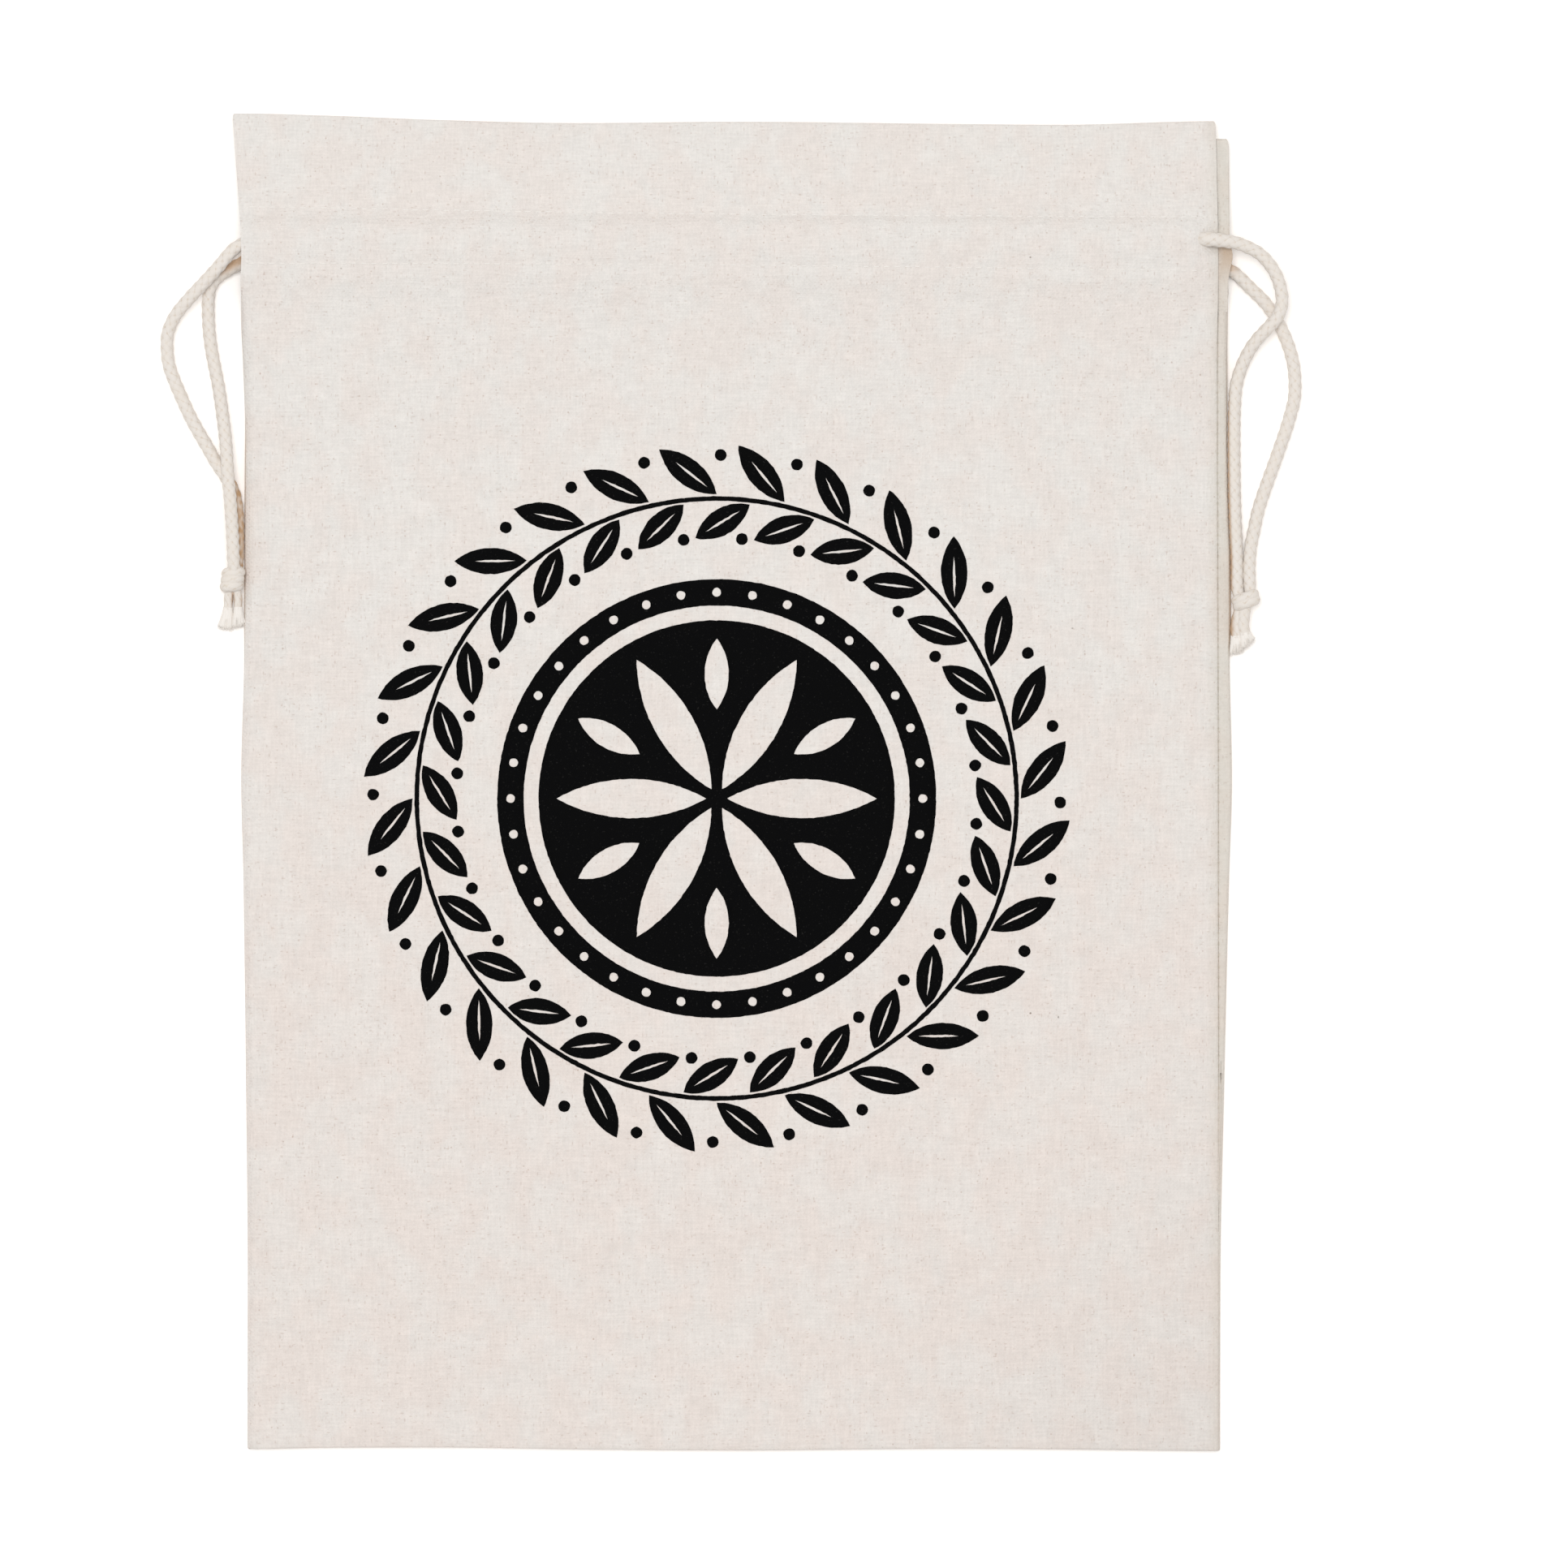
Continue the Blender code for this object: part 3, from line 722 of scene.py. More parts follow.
@dataclass(frozen=True)
class CordFinish:
    """Braided cotton, with painted shade in the grooves between its strands and where it lies against the bag, paler
    where it frays, partly as painted light.
    """

    name: str
    crown: Colour
    groove_shade: Colour
    warm: Colour
    loose: Colour
    shade: Colour
    fibre_grain: Grain = (1900.0, 1300.0, 1900.0)
    mottle_grain: Grain = (260.0, 200.0, 260.0)
    relief: float = 0.00012

    def make(self) -> Material:
        """Build the material's nodes.

        Returns:
            The material.
        """
        bench = Bench(self.name)
        at = bench.places()
        lay = bench.attribute("lay")
        fibres = bench.noise(at, self.fibre_grain, 3.0)
        mottle = bench.noise(at, self.mottle_grain, 2.0)
        # Painted shade: the grooves between the braid's strands are darkened brown.
        tone = bench.mixed((lay + (fibres - 0.5) * 0.6).ramp(-0.05, 0.62), self.groove_shade, self.crown)
        tone = bench.mixed(mottle.ramp(0.4, 0.7) * 0.45, tone, self.warm)
        # Loose fibres take a paler colour, partly their own and partly painted light that lifts the tufts'
        # downward-sloping ends.
        tone = bench.mixed(lay.ramp(1.0, LOOSE_LAY), tone, self.loose)
        # Painted shade: brown where a cord lies against the bag's sides, under another strand, or between a knot's
        # tails.
        tone = bench.mixed(bench.attribute("shade"), tone, self.shade)
        bench.finish(tone, fibres, self.relief, Roughness=0.92, Specular_IOR_Level=0.12)
        return bench.material


@dataclass(frozen=True)
class PrintFinish:
    """Matte black ink that lets the cloth's yarns show."""

    name: str
    ink: Colour
    thin: Colour
    fine_grain: Grain = (1900.0, 1900.0, 1900.0)
    warp_grain: Grain = (1800.0, 150.0, 1800.0)
    weft_grain: Grain = (150.0, 1800.0, 1800.0)
    relief: float = 0.0001

    def make(self) -> Material:
        """Build the material's nodes.

        Returns:
            The material.
        """
        bench = Bench(self.name)
        at = bench.places()
        grain = bench.noise(at, self.fine_grain, 2.0)
        yarns = bench.noise(at, self.warp_grain, 1.0) * bench.noise(at, self.weft_grain, 1.0)
        tone = bench.mixed(grain.ramp(0.62, 0.8), self.ink, self.thin)
        bench.finish(tone, yarns, self.relief, Roughness=0.9, Specular_IOR_Level=0.04)
        return bench.material


@dataclass(frozen=True)
class PlainFinish:
    """A matte finish with a faint grain, for the sewing thread and the floor."""

    name: str
    colour: Colour
    grain: float = 1500.0
    spread: float = 0.03
    glow: float = 0.0

    def make(self) -> Material:
        """Build the material's nodes.

        Returns:
            The material.
        """
        bench = Bench(self.name)
        grain = bench.noise(bench.places(), (self.grain,) * 3, 1.0)
        darker = (*(part * (1.0 - self.spread) for part in self.colour[:3]), 1.0)
        bench.finish(
            bench.mixed(grain, self.colour, darker),
            None,
            0.0,
            Roughness=0.95,
            Specular_IOR_Level=0.1,
            Emission_Color=(1.0, 1.0, 1.0, 1.0),
            Emission_Strength=self.glow,
        )
        return bench.material


@dataclass(frozen=True)
class BagShape:
    """The bag's outline and the height of its layers, which every piece on it shares."""

    bottom: float = -202.2
    mouth_shaped_from: float = 174.0
    bottom_shaped_to: float = -185.0
    puff: float = 0.7
    heading_puff: float = 0.25
    puff_edge: float = 4.6
    puff_edge_right: float = 9.0
    ripple: float = 0.16
    edge_step: float = 1.0
    edge_reach: float = 8.0
    stitch_dip: float = 0.17
    stitch_reach: float = 1.3
    cloth: float = 0.9
    puff_inset: float = 0.6
    puff_inset_right: float = 0.4
    heading: Step = Step(165.0, 180.0)
    swell: float = 0.25
    swell_length: float = 70.0
    ripple_across: float = 24.0
    ripple_along: float = 30.0
    crease_core: float = 0.4
    crease_ends: Window = Window(-0.1, 0.35, 0.65, 1.1)
    shade_depth: float = 0.85
    shade_height: Step = Step(5.5, 3.0)
    shade_length: Step = Step(134.0, 124.0)

    def side(self, column: str, y: float) -> float:
        """Return where one of the bag's sides or seams lies at a height up the bag."""
        return read_table(SIDES, "y", column, y)

    def height(self, column: str, y: float) -> float:
        """Return how high the middle of one layer of cloth lies."""
        return read_table(HEIGHTS, "y", column, y)

    def contact(self, place: Vector, reach: float) -> float:
        """Return how deep a point beside the bag lies in the bag's own shade.

        Args:
            place: The point.
            reach: How far from the bag the shade reaches.

        Returns:
            The depth of shade, from 0 to 1.
        """
        away = place.x - self.side("right", place.y)
        if place.x < 0.0:
            away = self.side("left", place.y) - place.x
        beside = smooth_step(reach, 0.0, away)
        return self.shade_depth * beside * self.shade_height.at(place.z) * self.shade_length.at(place.y)

    def shaped(self, x: float, y: float, mouth: float) -> float:
        """Shift a point up or down, so that the mouth and the bottom are uneven.

        Args:
            x: The point's place across.
            y: Its place up the bag.
            mouth: Where its panel's mouth is.

        Returns:
            Its new place up the bag.
        """
        up = read_table(EDGES, "x", "mouth", x) * smooth_step(self.mouth_shaped_from, mouth, y)
        down = read_table(EDGES, "x", "bottom", x) * smooth_step(self.bottom_shaped_to, self.bottom, y)
        return y + up + down

    def fall(self, x: float, y: float) -> float:
        """Return the share of the puff that is left near the bag's edges.

        Args:
            x: The place across.
            y: The place up the bag.

        Returns:
            The share, from 0 at the edge to 1.
        """
        from_left = (x - self.side("left", y) - self.puff_inset) / self.puff_edge
        from_right = (self.side("seam", y) - x - self.puff_inset_right) / self.puff_edge_right
        inside = min(from_left, (y - self.bottom) / self.puff_edge, from_right)
        part = 1.0 - min(1.0, max(0.0, inside))
        return math.sqrt(max(0.0, 1.0 - part * part))

    def relief(self, x: float, y: float) -> float:
        """Return how far the front stands above the height that its table gives.

        Args:
            x: The place across.
            y: The place up the bag.

        Returns:
            The rise in millimetres.
        """
        puff = self.puff + (self.heading_puff - self.puff) * self.heading.at(y)
        swelling = noise.noise(Vector((x / self.swell_length, y / self.swell_length, 4.7)))
        rise = puff * (1.0 - self.swell + self.swell * swelling)
        rise += self.ripple * noise.noise(Vector((x / self.ripple_across, y / self.ripple_along, 1.3)))
        for crease in CREASES:
            run = Vector((crease.x1 - crease.x0, crease.y1 - crease.y0))
            part = (Vector((x - crease.x0, y - crease.y0)) @ run) / run.length_squared
            away = Vector((x - crease.x0, y - crease.y0)) - run * min(1.0, max(0.0, part))
            fade = math.exp(-((away.length / (self.crease_core * crease.width)) ** 2))
            rise += crease.rise * self.crease_ends.share(part) * fade
        return rise * self.fall(x, y)

    def front_middle(self, x: float, y: float) -> float:
        """Return how high the middle of the front's outer layer lies.

        Args:
            x: The place across.
            y: The place up the bag.

        Returns:
            The height in millimetres.
        """
        dip = 0.0
        for line in FRONT_STITCHES:
            away = (y - line.at(x)) / self.stitch_reach
            dip += self.stitch_dip * math.exp(-away * away)
        height = self.height("front", y)
        beside = self.side("seam", y) - x
        if beside < self.edge_reach:
            step = max(0.0, height - self.height("strip", y) - self.edge_step)
            dip += step * smooth_step(self.edge_reach, 0.0, beside)
        return height + self.relief(x, y) - dip

    def front_top(self, x: float, y: float) -> float:
        """Return how high the front's upper surface lies."""
        return self.front_middle(x, y) + 0.5 * self.cloth


@dataclass(frozen=True)
class StitchLine:
    """A line of stitches across the bag, through three points."""

    left: float
    middle: float
    right: float
    from_x: float = -147.0
    to_x: float = 145.5
    half_width: float = 148.0

    def at(self, x: float) -> float:
        """Follow the line.

        Args:
            x: The place across.

        Returns:
            The place up the bag.
        """
        t = min(1.0, max(-1.0, x / self.half_width))
        lean = 0.5 * (self.right - self.left)
        bow = 0.5 * (self.left + self.right) - self.middle
        return self.middle + lean * t + bow * t * t


FRONT_STITCHES = (
    StitchLine(left=174.4, middle=172.0, right=171.2),
    StitchLine(left=156.9, middle=156.4, right=154.6),
)
BACK_STITCHES = (
    StitchLine(left=166.6, middle=166.2, right=166.4, from_x=-143.0, to_x=148.0),
    StitchLine(left=149.9, middle=149.4, right=149.8, from_x=-143.0, to_x=148.0),
)


@dataclass(frozen=True)
class Slit:
    """The slit at the front's right edge, open to the side, whose lips follow the cord in it."""

    start: float = 141.2
    full: float = 144.4
    middle: float = 164.3
    half_width: float = 1.6
    reach: float = 7.0
    dip: float = 0.8
    dip_reach: float = 6.5
    lean: float = -0.075
    dip_lead: float = 1.5

    def moved(self, place: Vector, side: float) -> Vector:
        """Move a point of the outer layer with the slit's lips.

        Args:
            place: The point before the slit opens.
            side: 1 above the slit and -1 below it.

        Returns:
            The point with the slit open.
        """
        away = abs(place.y - self.middle)
        share = smooth_step(self.start, self.full, place.x)
        open_by = self.half_width * share * max(0.0, 1.0 - away / self.reach) ** 2
        lean = self.lean * max(0.0, place.x - self.start) * max(0.0, 1.0 - away / self.reach)
        sunk = self.dip * smooth_step(self.start - self.dip_lead, self.full, place.x)
        sunk *= max(0.0, 1.0 - away / self.dip_reach) ** 2
        return place + Vector((0.0, side * open_by + lean, -sunk))


@dataclass(frozen=True)
class Station:
    """One row of a panel's grid.

    Attributes:
        y: Its place up the bag.
        folded: How far it has gone round the mouth's fold, from 0 to 1.
        inset: 1 on the hem, which stops short of the sides.
        drop: How far it drops into the bottom seam.
    """

    y: float
    folded: float = 0.0
    inset: float = 0.0
    drop: float = 0.0


@dataclass
class ClothPanel:
    """One cut of cloth, up the bag, over the mouth's fold and down inside as the channel's back."""

    name: str
    node: str
    face: Face
    mouth: float
    hem_end: float
    hem_column: str
    unrolled: Step
    parted: Step
    corner: float
    bands: tuple[Band, ...]
    spacing: float
    slit: Slit | None = None
    shape: BagShape = BagShape()
    gap: float = -0.06
    seam_left: float = -144.7
    turn_radius: float = 0.22
    turn_columns: int = 4
    roll_columns: int = 10
    strip_columns: int = 3
    slit_columns: int = 9
    fold_steps: int = 8
    hem_spacing: float = 2.4
    roll_width: float = 1.2
    unrolled_width: float = 2.5
    edge_width: float = 0.6
    hem_step: float = 0.6
    hem_inset: float = 0.8
    plain_inset: float = 0.8
    hem_inset_length: float = 12.0
    hem_inset_at_cords: float = 7.5
    cords_reach: Step = Step(174.0, 168.0)
    hem_ease: float = 5.0
    hem_rim: float = 0.2
    hem_clear: float = 0.12
    bend_before: float = 2.6
    bend_past: float = 0.3
    flat_width: float = 288.0
    mouth_spacing: float = 2.0
    corner_pull: float = 0.6
    # Painted fold shade on the front's right edge, and the strip's yellower tone, partly its own and partly painted
    # shade.
    edge_fold_shade: float = 0.19
    strip_tone_and_shade: float = 0.29
    # Painted shade on the rolled sides beside the cords and the knot.
    fold_shade: float = 0.65
    strip_shade: float = 0.75
    sewn_length: Step = Step(-150.0, -110.0)
    shaded_fold: Step = Step(1.5, 4.5)
    cord_room: Window = Window(147.0, 151.5, 161.0, 165.0)
    under_cord: Window = Window(149.0, 160.0, 162.5, 164.5)
    fold_beside_cord: Window = Window(36.0, 60.0, 98.0, 112.0)
    strip_beside_cord: Window = Window(36.0, 42.0, 124.0, 132.0)
    strip_beside_knot: Window = Window(36.0, 44.0, 66.0, 74.0)

    @property
    def turn(self) -> int:
        """Return 1 where the panel rolls at its right side, and -1 where at its left."""
        return -self.face.value

    def outer(self, x: float, y: float) -> float:
        """Return how high the middle of the outer layer lies."""
        return BACK_LEVEL if self.face is Face.LOWER else self.shape.front_middle(x, y)

    def hem(self, y: float) -> float:
        """Return how high the middle of the hem lies."""
        return self.shape.height(self.hem_column, y)

    def strip_outer(self, y: float) -> float:
        """Return how high the outer layer lies beside the front, where the cords leave room.

        Args:
            y: The place up the bag.

        Returns:
            The height of its middle.
        """
        rim = self.hem_end - self.hem_rim
        under_hem = self.hem_step * smooth_step(self.hem_end - self.hem_ease, rim, y)
        at_cord = self.cord_room.share(y)
        return (self.shape.height("strip", y) - under_hem) * (1.0 - at_cord) + BACK_LEVEL * at_cord

    def stations(self) -> list[Station]:
        """List the grid's rows.

        Returns:
            The rows, from the bottom seam over the mouth's fold to the end of the hem.
        """
        half = 0.5 * self.shape.cloth
        radius = self.turn_radius
        section = []
        for step in range(self.turn_columns):
            angle = 0.5 * math.pi * step / self.turn_columns
            y = self.shape.bottom + half + radius * (1.0 - math.cos(angle))
            section.append(Station(y, drop=radius * (1.0 - math.sin(angle))))
        at = self.shape.bottom + half + radius
        section.append(Station(at))
        low = self.outer(0.0, self.mouth)
        fold = 0.5 * abs(low - self.hem(self.mouth))
        for band in (*self.bands, Band(self.mouth - fold, self.mouth_spacing)):
            count = max(1, round((band.stop - at) / band.spacing))
            for step in range(1, count + 1):
                section.append(Station(at + (band.stop - at) * step / count))
            at = band.stop
        for step in range(1, self.fold_steps):
            angle = math.pi * step / self.fold_steps
            section.append(Station(at + fold * math.sin(angle), 0.5 - 0.5 * math.cos(angle)))
        count = round((at - self.hem_end) / self.hem_spacing)
        for step in range(count + 1):
            section.append(Station(at + (self.hem_end - at) * step / count, 1.0, 1.0))
        return section

    def across(self, station: Station) -> list[Vector]:
        """List the points of one grid row, from the plain side to the rolled side.

        Args:
            station: The row.

        Returns:
            The points, in millimetres.
        """
        y, inset, drop = station.y, station.inset, station.drop
        turn = self.turn
        down = self.face.value
        shape = self.shape
        half = 0.5 * shape.cloth
        radius = self.turn_radius
        ease = smooth_step(self.mouth, self.mouth - self.hem_inset_length, y) * inset
        at_cords = self.cords_reach.at(y)
        plain_in = ease * self.plain_inset
        rolled_in = ease * self.hem_inset
        if turn < 0:
            rolled_in = ease * (self.hem_inset + (self.hem_inset_at_cords - self.hem_inset) * at_cords)
        round_off = self.rounded(y)
        roll = 0.0 if inset else 1.0 - self.unrolled.at(y)
        joined = 0.0 if inset else 1.0 - self.parted.at(y)
        if turn < 0:
            start = shape.side("seam", y) - 0.5 * self.gap - plain_in - round_off
            far = BACK_LEVEL
            seam_edge = self.seam_left - 0.5 * self.gap
        else:
            start = self.seam_left + 0.5 * self.gap + plain_in
            far = self.strip_outer(y)
            seam_edge = shape.side("seam", y) + 0.5 * self.gap
        far += down * drop
        edge = shape.side("left" if turn < 0 else "right", y) - turn * (rolled_in + round_off)

        def level(x: float) -> float:
            """Return how high this row's cloth lies.

            Args:
                x: The place across.

            Returns:
                The height of its middle.
            """
            outer = self.outer(x, y) - down * drop
            hem = self.hem(y)
            if turn > 0:
                seam = shape.side("seam", y)
                bent = smooth_step(seam - self.bend_before, seam + self.bend_past, x)
                outer += (self.strip_outer(y) - outer) * bent * (1.0 - roll)
                rim = self.hem_end + self.hem_rim
                ended = smooth_step(self.hem_end + self.hem_ease, rim, y) * (self.hem_step + self.hem_clear)
                hem += (shape.height("strip", y) - ended - hem) * bent
            return outer + (hem - outer) * station.folded

        points = []
        for k in range(self.turn_columns):
            angle = 0.5 * math.pi * k / self.turn_columns
            flat_x = start + turn * (half + radius) * k / self.turn_columns
            bent_x = start + turn * (half + radius * (1.0 - math.cos(angle)))
            x = flat_x + (bent_x - flat_x) * joined
            sunk = down * joined * max(0.0, radius - drop) * (1.0 - math.sin(angle))
            points.append(Vector((x, y, level(x) - sunk)))
        inner = start + turn * (half + radius)
        side_z = level(edge)
        reach = min(self.roll_width, 0.5 * abs(far - side_z))
        out = edge - turn * half
        stop = (edge - turn * self.unrolled_width) * (1.0 - roll) + (out - turn * reach) * roll
        breaks = [inner, stop]
        if self.slit:
            breaks.insert(1, self.slit.start)
        for a, b in zip(breaks, breaks[1:]):
            count = self.slit_columns if self.slit and b == self.slit.start else self.flat_columns()
            for k in range(count):
                x = a + (b - a) * k / count
                points.append(Vector((x, y, level(x))))
        points.append(Vector((stop, y, level(stop))))
        count = self.roll_columns + self.strip_columns + self.turn_columns
        strip_start = out - turn * reach
        strip_stop = seam_edge + turn * (half + radius)
        if turn < 0:
            strip_stop = max(strip_stop, strip_start + self.gap)
        else:
            strip_stop = min(strip_stop, strip_start - self.gap)
        crest = self.roll_columns // 2
        rolled_up = self.unrolled_width - self.edge_width
        for k in range(1, count + 1):
            if k <= crest:
                flat_x = edge - turn * (self.unrolled_width - rolled_up * k / crest)
            else:
                flat_x = edge - turn * self.edge_width * (1.0 - (k - crest) / (count - crest))
            if k <= self.roll_columns:
                angle = math.pi * k / self.roll_columns
                bent_x = out - turn * reach * (1.0 - math.sin(angle))
                bent_z = 0.5 * (side_z + far) + 0.5 * (side_z - far) * math.cos(angle)
            elif k <= self.roll_columns + self.strip_columns:
                part = (k - self.roll_columns) / self.strip_columns
                bent_x = strip_start + (strip_stop - strip_start) * part
                bent_z = far
            else:
                angle = 0.5 * math.pi * (k - self.roll_columns - self.strip_columns) / self.turn_columns
                bent_x = strip_stop - turn * radius * math.sin(angle)
                bent_z = far + down * max(0.0, radius - drop) * (1.0 - math.cos(angle))
            x = flat_x + (bent_x - flat_x) * roll
            flat_z = level(flat_x)
            points.append(Vector((x, y, flat_z + (bent_z - flat_z) * roll)))
        return points

    def rounded(self, y: float) -> float:
        """Return how far the mouth's corners draw the sides in at a height up the bag."""
        part = min(1.0, max(0.0, (y - (self.mouth - self.corner)) / self.corner))
        return self.corner * (1.0 - math.sqrt(1.0 - part * part)) * self.corner_pull

    def flat_columns(self) -> int:
        """Return how many columns the flat of the panel has."""
        return round(self.flat_width / self.spacing)

    def build(self, finish: Material) -> Object:
        """Bend a flat grid into the panel and give it the cloth's thickness.

        Args:
            finish: The cloth's material.

        Returns:
            The panel.
        """
        stations = self.stations()
        table = [self.across(station) for station in stations]
        columns = len(table[0]) - 1
        rows = len(table) - 1
        mesh = bmesh.new()
        bmesh.ops.create_grid(mesh, x_segments=columns, y_segments=rows, size=1.0)
        column_of = mesh.verts.layers.int.new("column")
        row_of = mesh.verts.layers.int.new("row")
        layers = [mesh.verts.layers.float.new(name) for name in ("sewn", "tint", "shade")]
        for vertex in mesh.verts:
            column = grid_step(vertex.co.x, columns)
            row = grid_step(vertex.co.y, rows)
            vertex[column_of] = column
            vertex[row_of] = row
            marks = self.marks(column, columns, stations[row], table[row][column].x)
            for layer, share in zip(layers, marks):
                vertex[layer] = share
        outer_rows = sum(1 for station in stations if not station.inset)
        slit_row = rows + 1
        if self.slit:
            slit_row = min(range(outer_rows), key=lambda j: abs(stations[j].y - self.slit.middle))
            last = self.turn_columns + self.slit_columns
            ends = {v for v in mesh.verts if v[row_of] == slit_row and v[column_of] <= last}
            bmesh.ops.split_edges(mesh, edges=[e for e in mesh.edges if set(e.verts) <= ends])
        for vertex in mesh.verts:
            row = vertex[row_of]
            place = table[row][vertex[column_of]]
            if self.slit and row < outer_rows:
                reached = max(v[row_of] for face in vertex.link_faces for v in face.verts)
                place = self.slit.moved(place, 1.0 if reached > slit_row else -1.0)
            vertex.co = Vector((place.x, self.shape.shaped(place.x, place.y, self.mouth), place.z)) * MM
        thing = object_from(self.name, mesh, finish)
        shell = thing.modifiers.new("cloth", "SOLIDIFY")
        shell.thickness = self.shape.cloth * MM
        shell.offset = 0.0
        return fitted(settled(thing, sharp=60.0), Slot.LINEN, self.node)

    def marks(self, column: int, columns: int, station: Station, x: float) -> tuple[float, float, float]:
        """Return what the material needs to know at one point of the grid.

        Args:
            column: The point's column.
            columns: The grid's last column.
            station: The point's row.
            x: The point's place across.

        Returns:
            How close it is to the sewn seam, how much of the yellower tone and painted shade of the seam's edges it
            takes, and how deep in painted shade it lies, from 0 to 1.
        """
        y, inset = station.y, station.inset
        beside = x - self.shape.side("seam", y)
        at_seam = column if self.face is Face.UPPER else columns - column
        sewn = smooth_step(self.turn_columns + 1.0, self.turn_columns - 1.0, at_seam) * (1.0 - inset)
        sewn *= smooth_step(self.parted.stop, self.parted.start, y) * self.sewn_length.at(y)
        rolled = column - (columns - self.roll_columns - self.strip_columns - self.turn_columns)
        if self.face is Face.UPPER:
            shade = self.fold_shade * self.shaded_fold.at(rolled) * self.fold_beside_cord.share(y)
            # Painted fold shade along the front's right edge.
            tint = self.edge_fold_shade * smooth_step(4.5, 0.0, -beside) * (1.0 - inset)
            return sewn, tint, shade if rolled > 0 else 0.0
        knotted = self.strip_beside_knot.share(y)
        shade = self.strip_shade * smooth_step(7.5 + 1.6 * knotted, 4.5 + 2.0 * knotted, rolled)
        shade = shade * self.strip_beside_cord.share(y) if rolled > 0 else 0.0
        # Painted shadow of the right front strand on the strip below it.
        under_cord = self.under_cord.share(y) * smooth_step(-1.0, 0.0, beside)
        # The strip's yellower tone is partly its own and partly painted shade under the front's edge.
        return sewn, self.strip_tone_and_shade * smooth_step(-1.5, 0.0, beside), max(shade, 0.5 * under_cord)


PANELS = (
    ClothPanel(
        name="back_cloth", node="back_panel", face=Face.LOWER, mouth=194.2, hem_end=142.5,
        hem_column="back_hem", unrolled=Step(143.0, 147.5), parted=Step(137.0, 149.0),
        corner=1.3, hem_inset=0.25,
        bands=(Band(-185.0, 2.5), Band(120.0, 3.6), Band(172.0, 1.5), Band(192.4, 2.0)),
        spacing=3.4,
    ),
    ClothPanel(
        name="front_cloth", node="front_panel", face=Face.UPPER, mouth=199.5, hem_end=149.5,
        hem_column="front_hem", unrolled=Step(137.0, 149.0), parted=Step(133.0, 144.5),
        corner=1.0, plain_inset=3.0,
        bands=(
            Band(-196.0, 0.9), Band(130.0, 2.9), Band(152.0, 1.8), Band(160.0, 0.8), Band(164.3, 0.54),
            Band(168.6, 0.54), Band(176.0, 0.8), Band(192.0, 2.2), Band(197.8, 2.0),
        ),
        spacing=2.2, slit=Slit(),
    ),
)


@dataclass
class Stitching:
    """The two lines of stitches along one face's channel, joined in one piece."""

    name: str
    lines: tuple[StitchLine, ...]
    level: Callable[[float, float], float]
    pitch: float = 3.1
    length: float = 2.3
    width: float = 0.42
    depth: float = 0.34
    stray_along: float = 0.12
    stray_aside: float = 0.1
    stray_turn: float = 0.05

    def build(self, finish: Material) -> Object:
        """Lay the stitches along their lines.

        Args:
            finish: The thread's material.

        Returns:
            The stitches.
        """
        mesh = bmesh.new()
        chance = random.Random(3)
        for line in self.lines:
            count = int((line.to_x - line.from_x) / self.pitch)
            for k in range(count):
                x = line.from_x + (k + 0.5) * self.pitch
                x += chance.uniform(-self.stray_along, self.stray_along)
                y = line.at(x) + chance.uniform(-self.stray_aside, self.stray_aside)
                lean = math.atan2(line.at(x + 1.0) - line.at(x - 1.0), 2.0)
                lean += chance.uniform(-self.stray_turn, self.stray_turn)
                half_length = 0.5 * self.length * chance.uniform(0.92, 1.05)
                size = Vector((half_length, 0.5 * self.width, 0.5 * self.depth))
                place = Matrix.Translation(Vector((x, y, self.level(x, y))) * MM)
                matrix = place @ Matrix.Rotation(lean, 4, "Z") @ Matrix.Diagonal((*(size * MM), 1.0))
                bmesh.ops.create_uvsphere(mesh, u_segments=8, v_segments=6, radius=1.0, matrix=matrix)
        return fitted(settled(object_from(self.name, mesh, finish), sharp=180.0), Slot.LINEN)


def cord_mesh() -> BMesh:
    """Start a cord's bmesh, whose points hold how raised and how shaded they are.

    Returns:
        The empty bmesh.
    """
    mesh = bmesh.new()
    mesh.verts.layers.float.new("lay")
    mesh.verts.layers.float.new("shade")
    return mesh


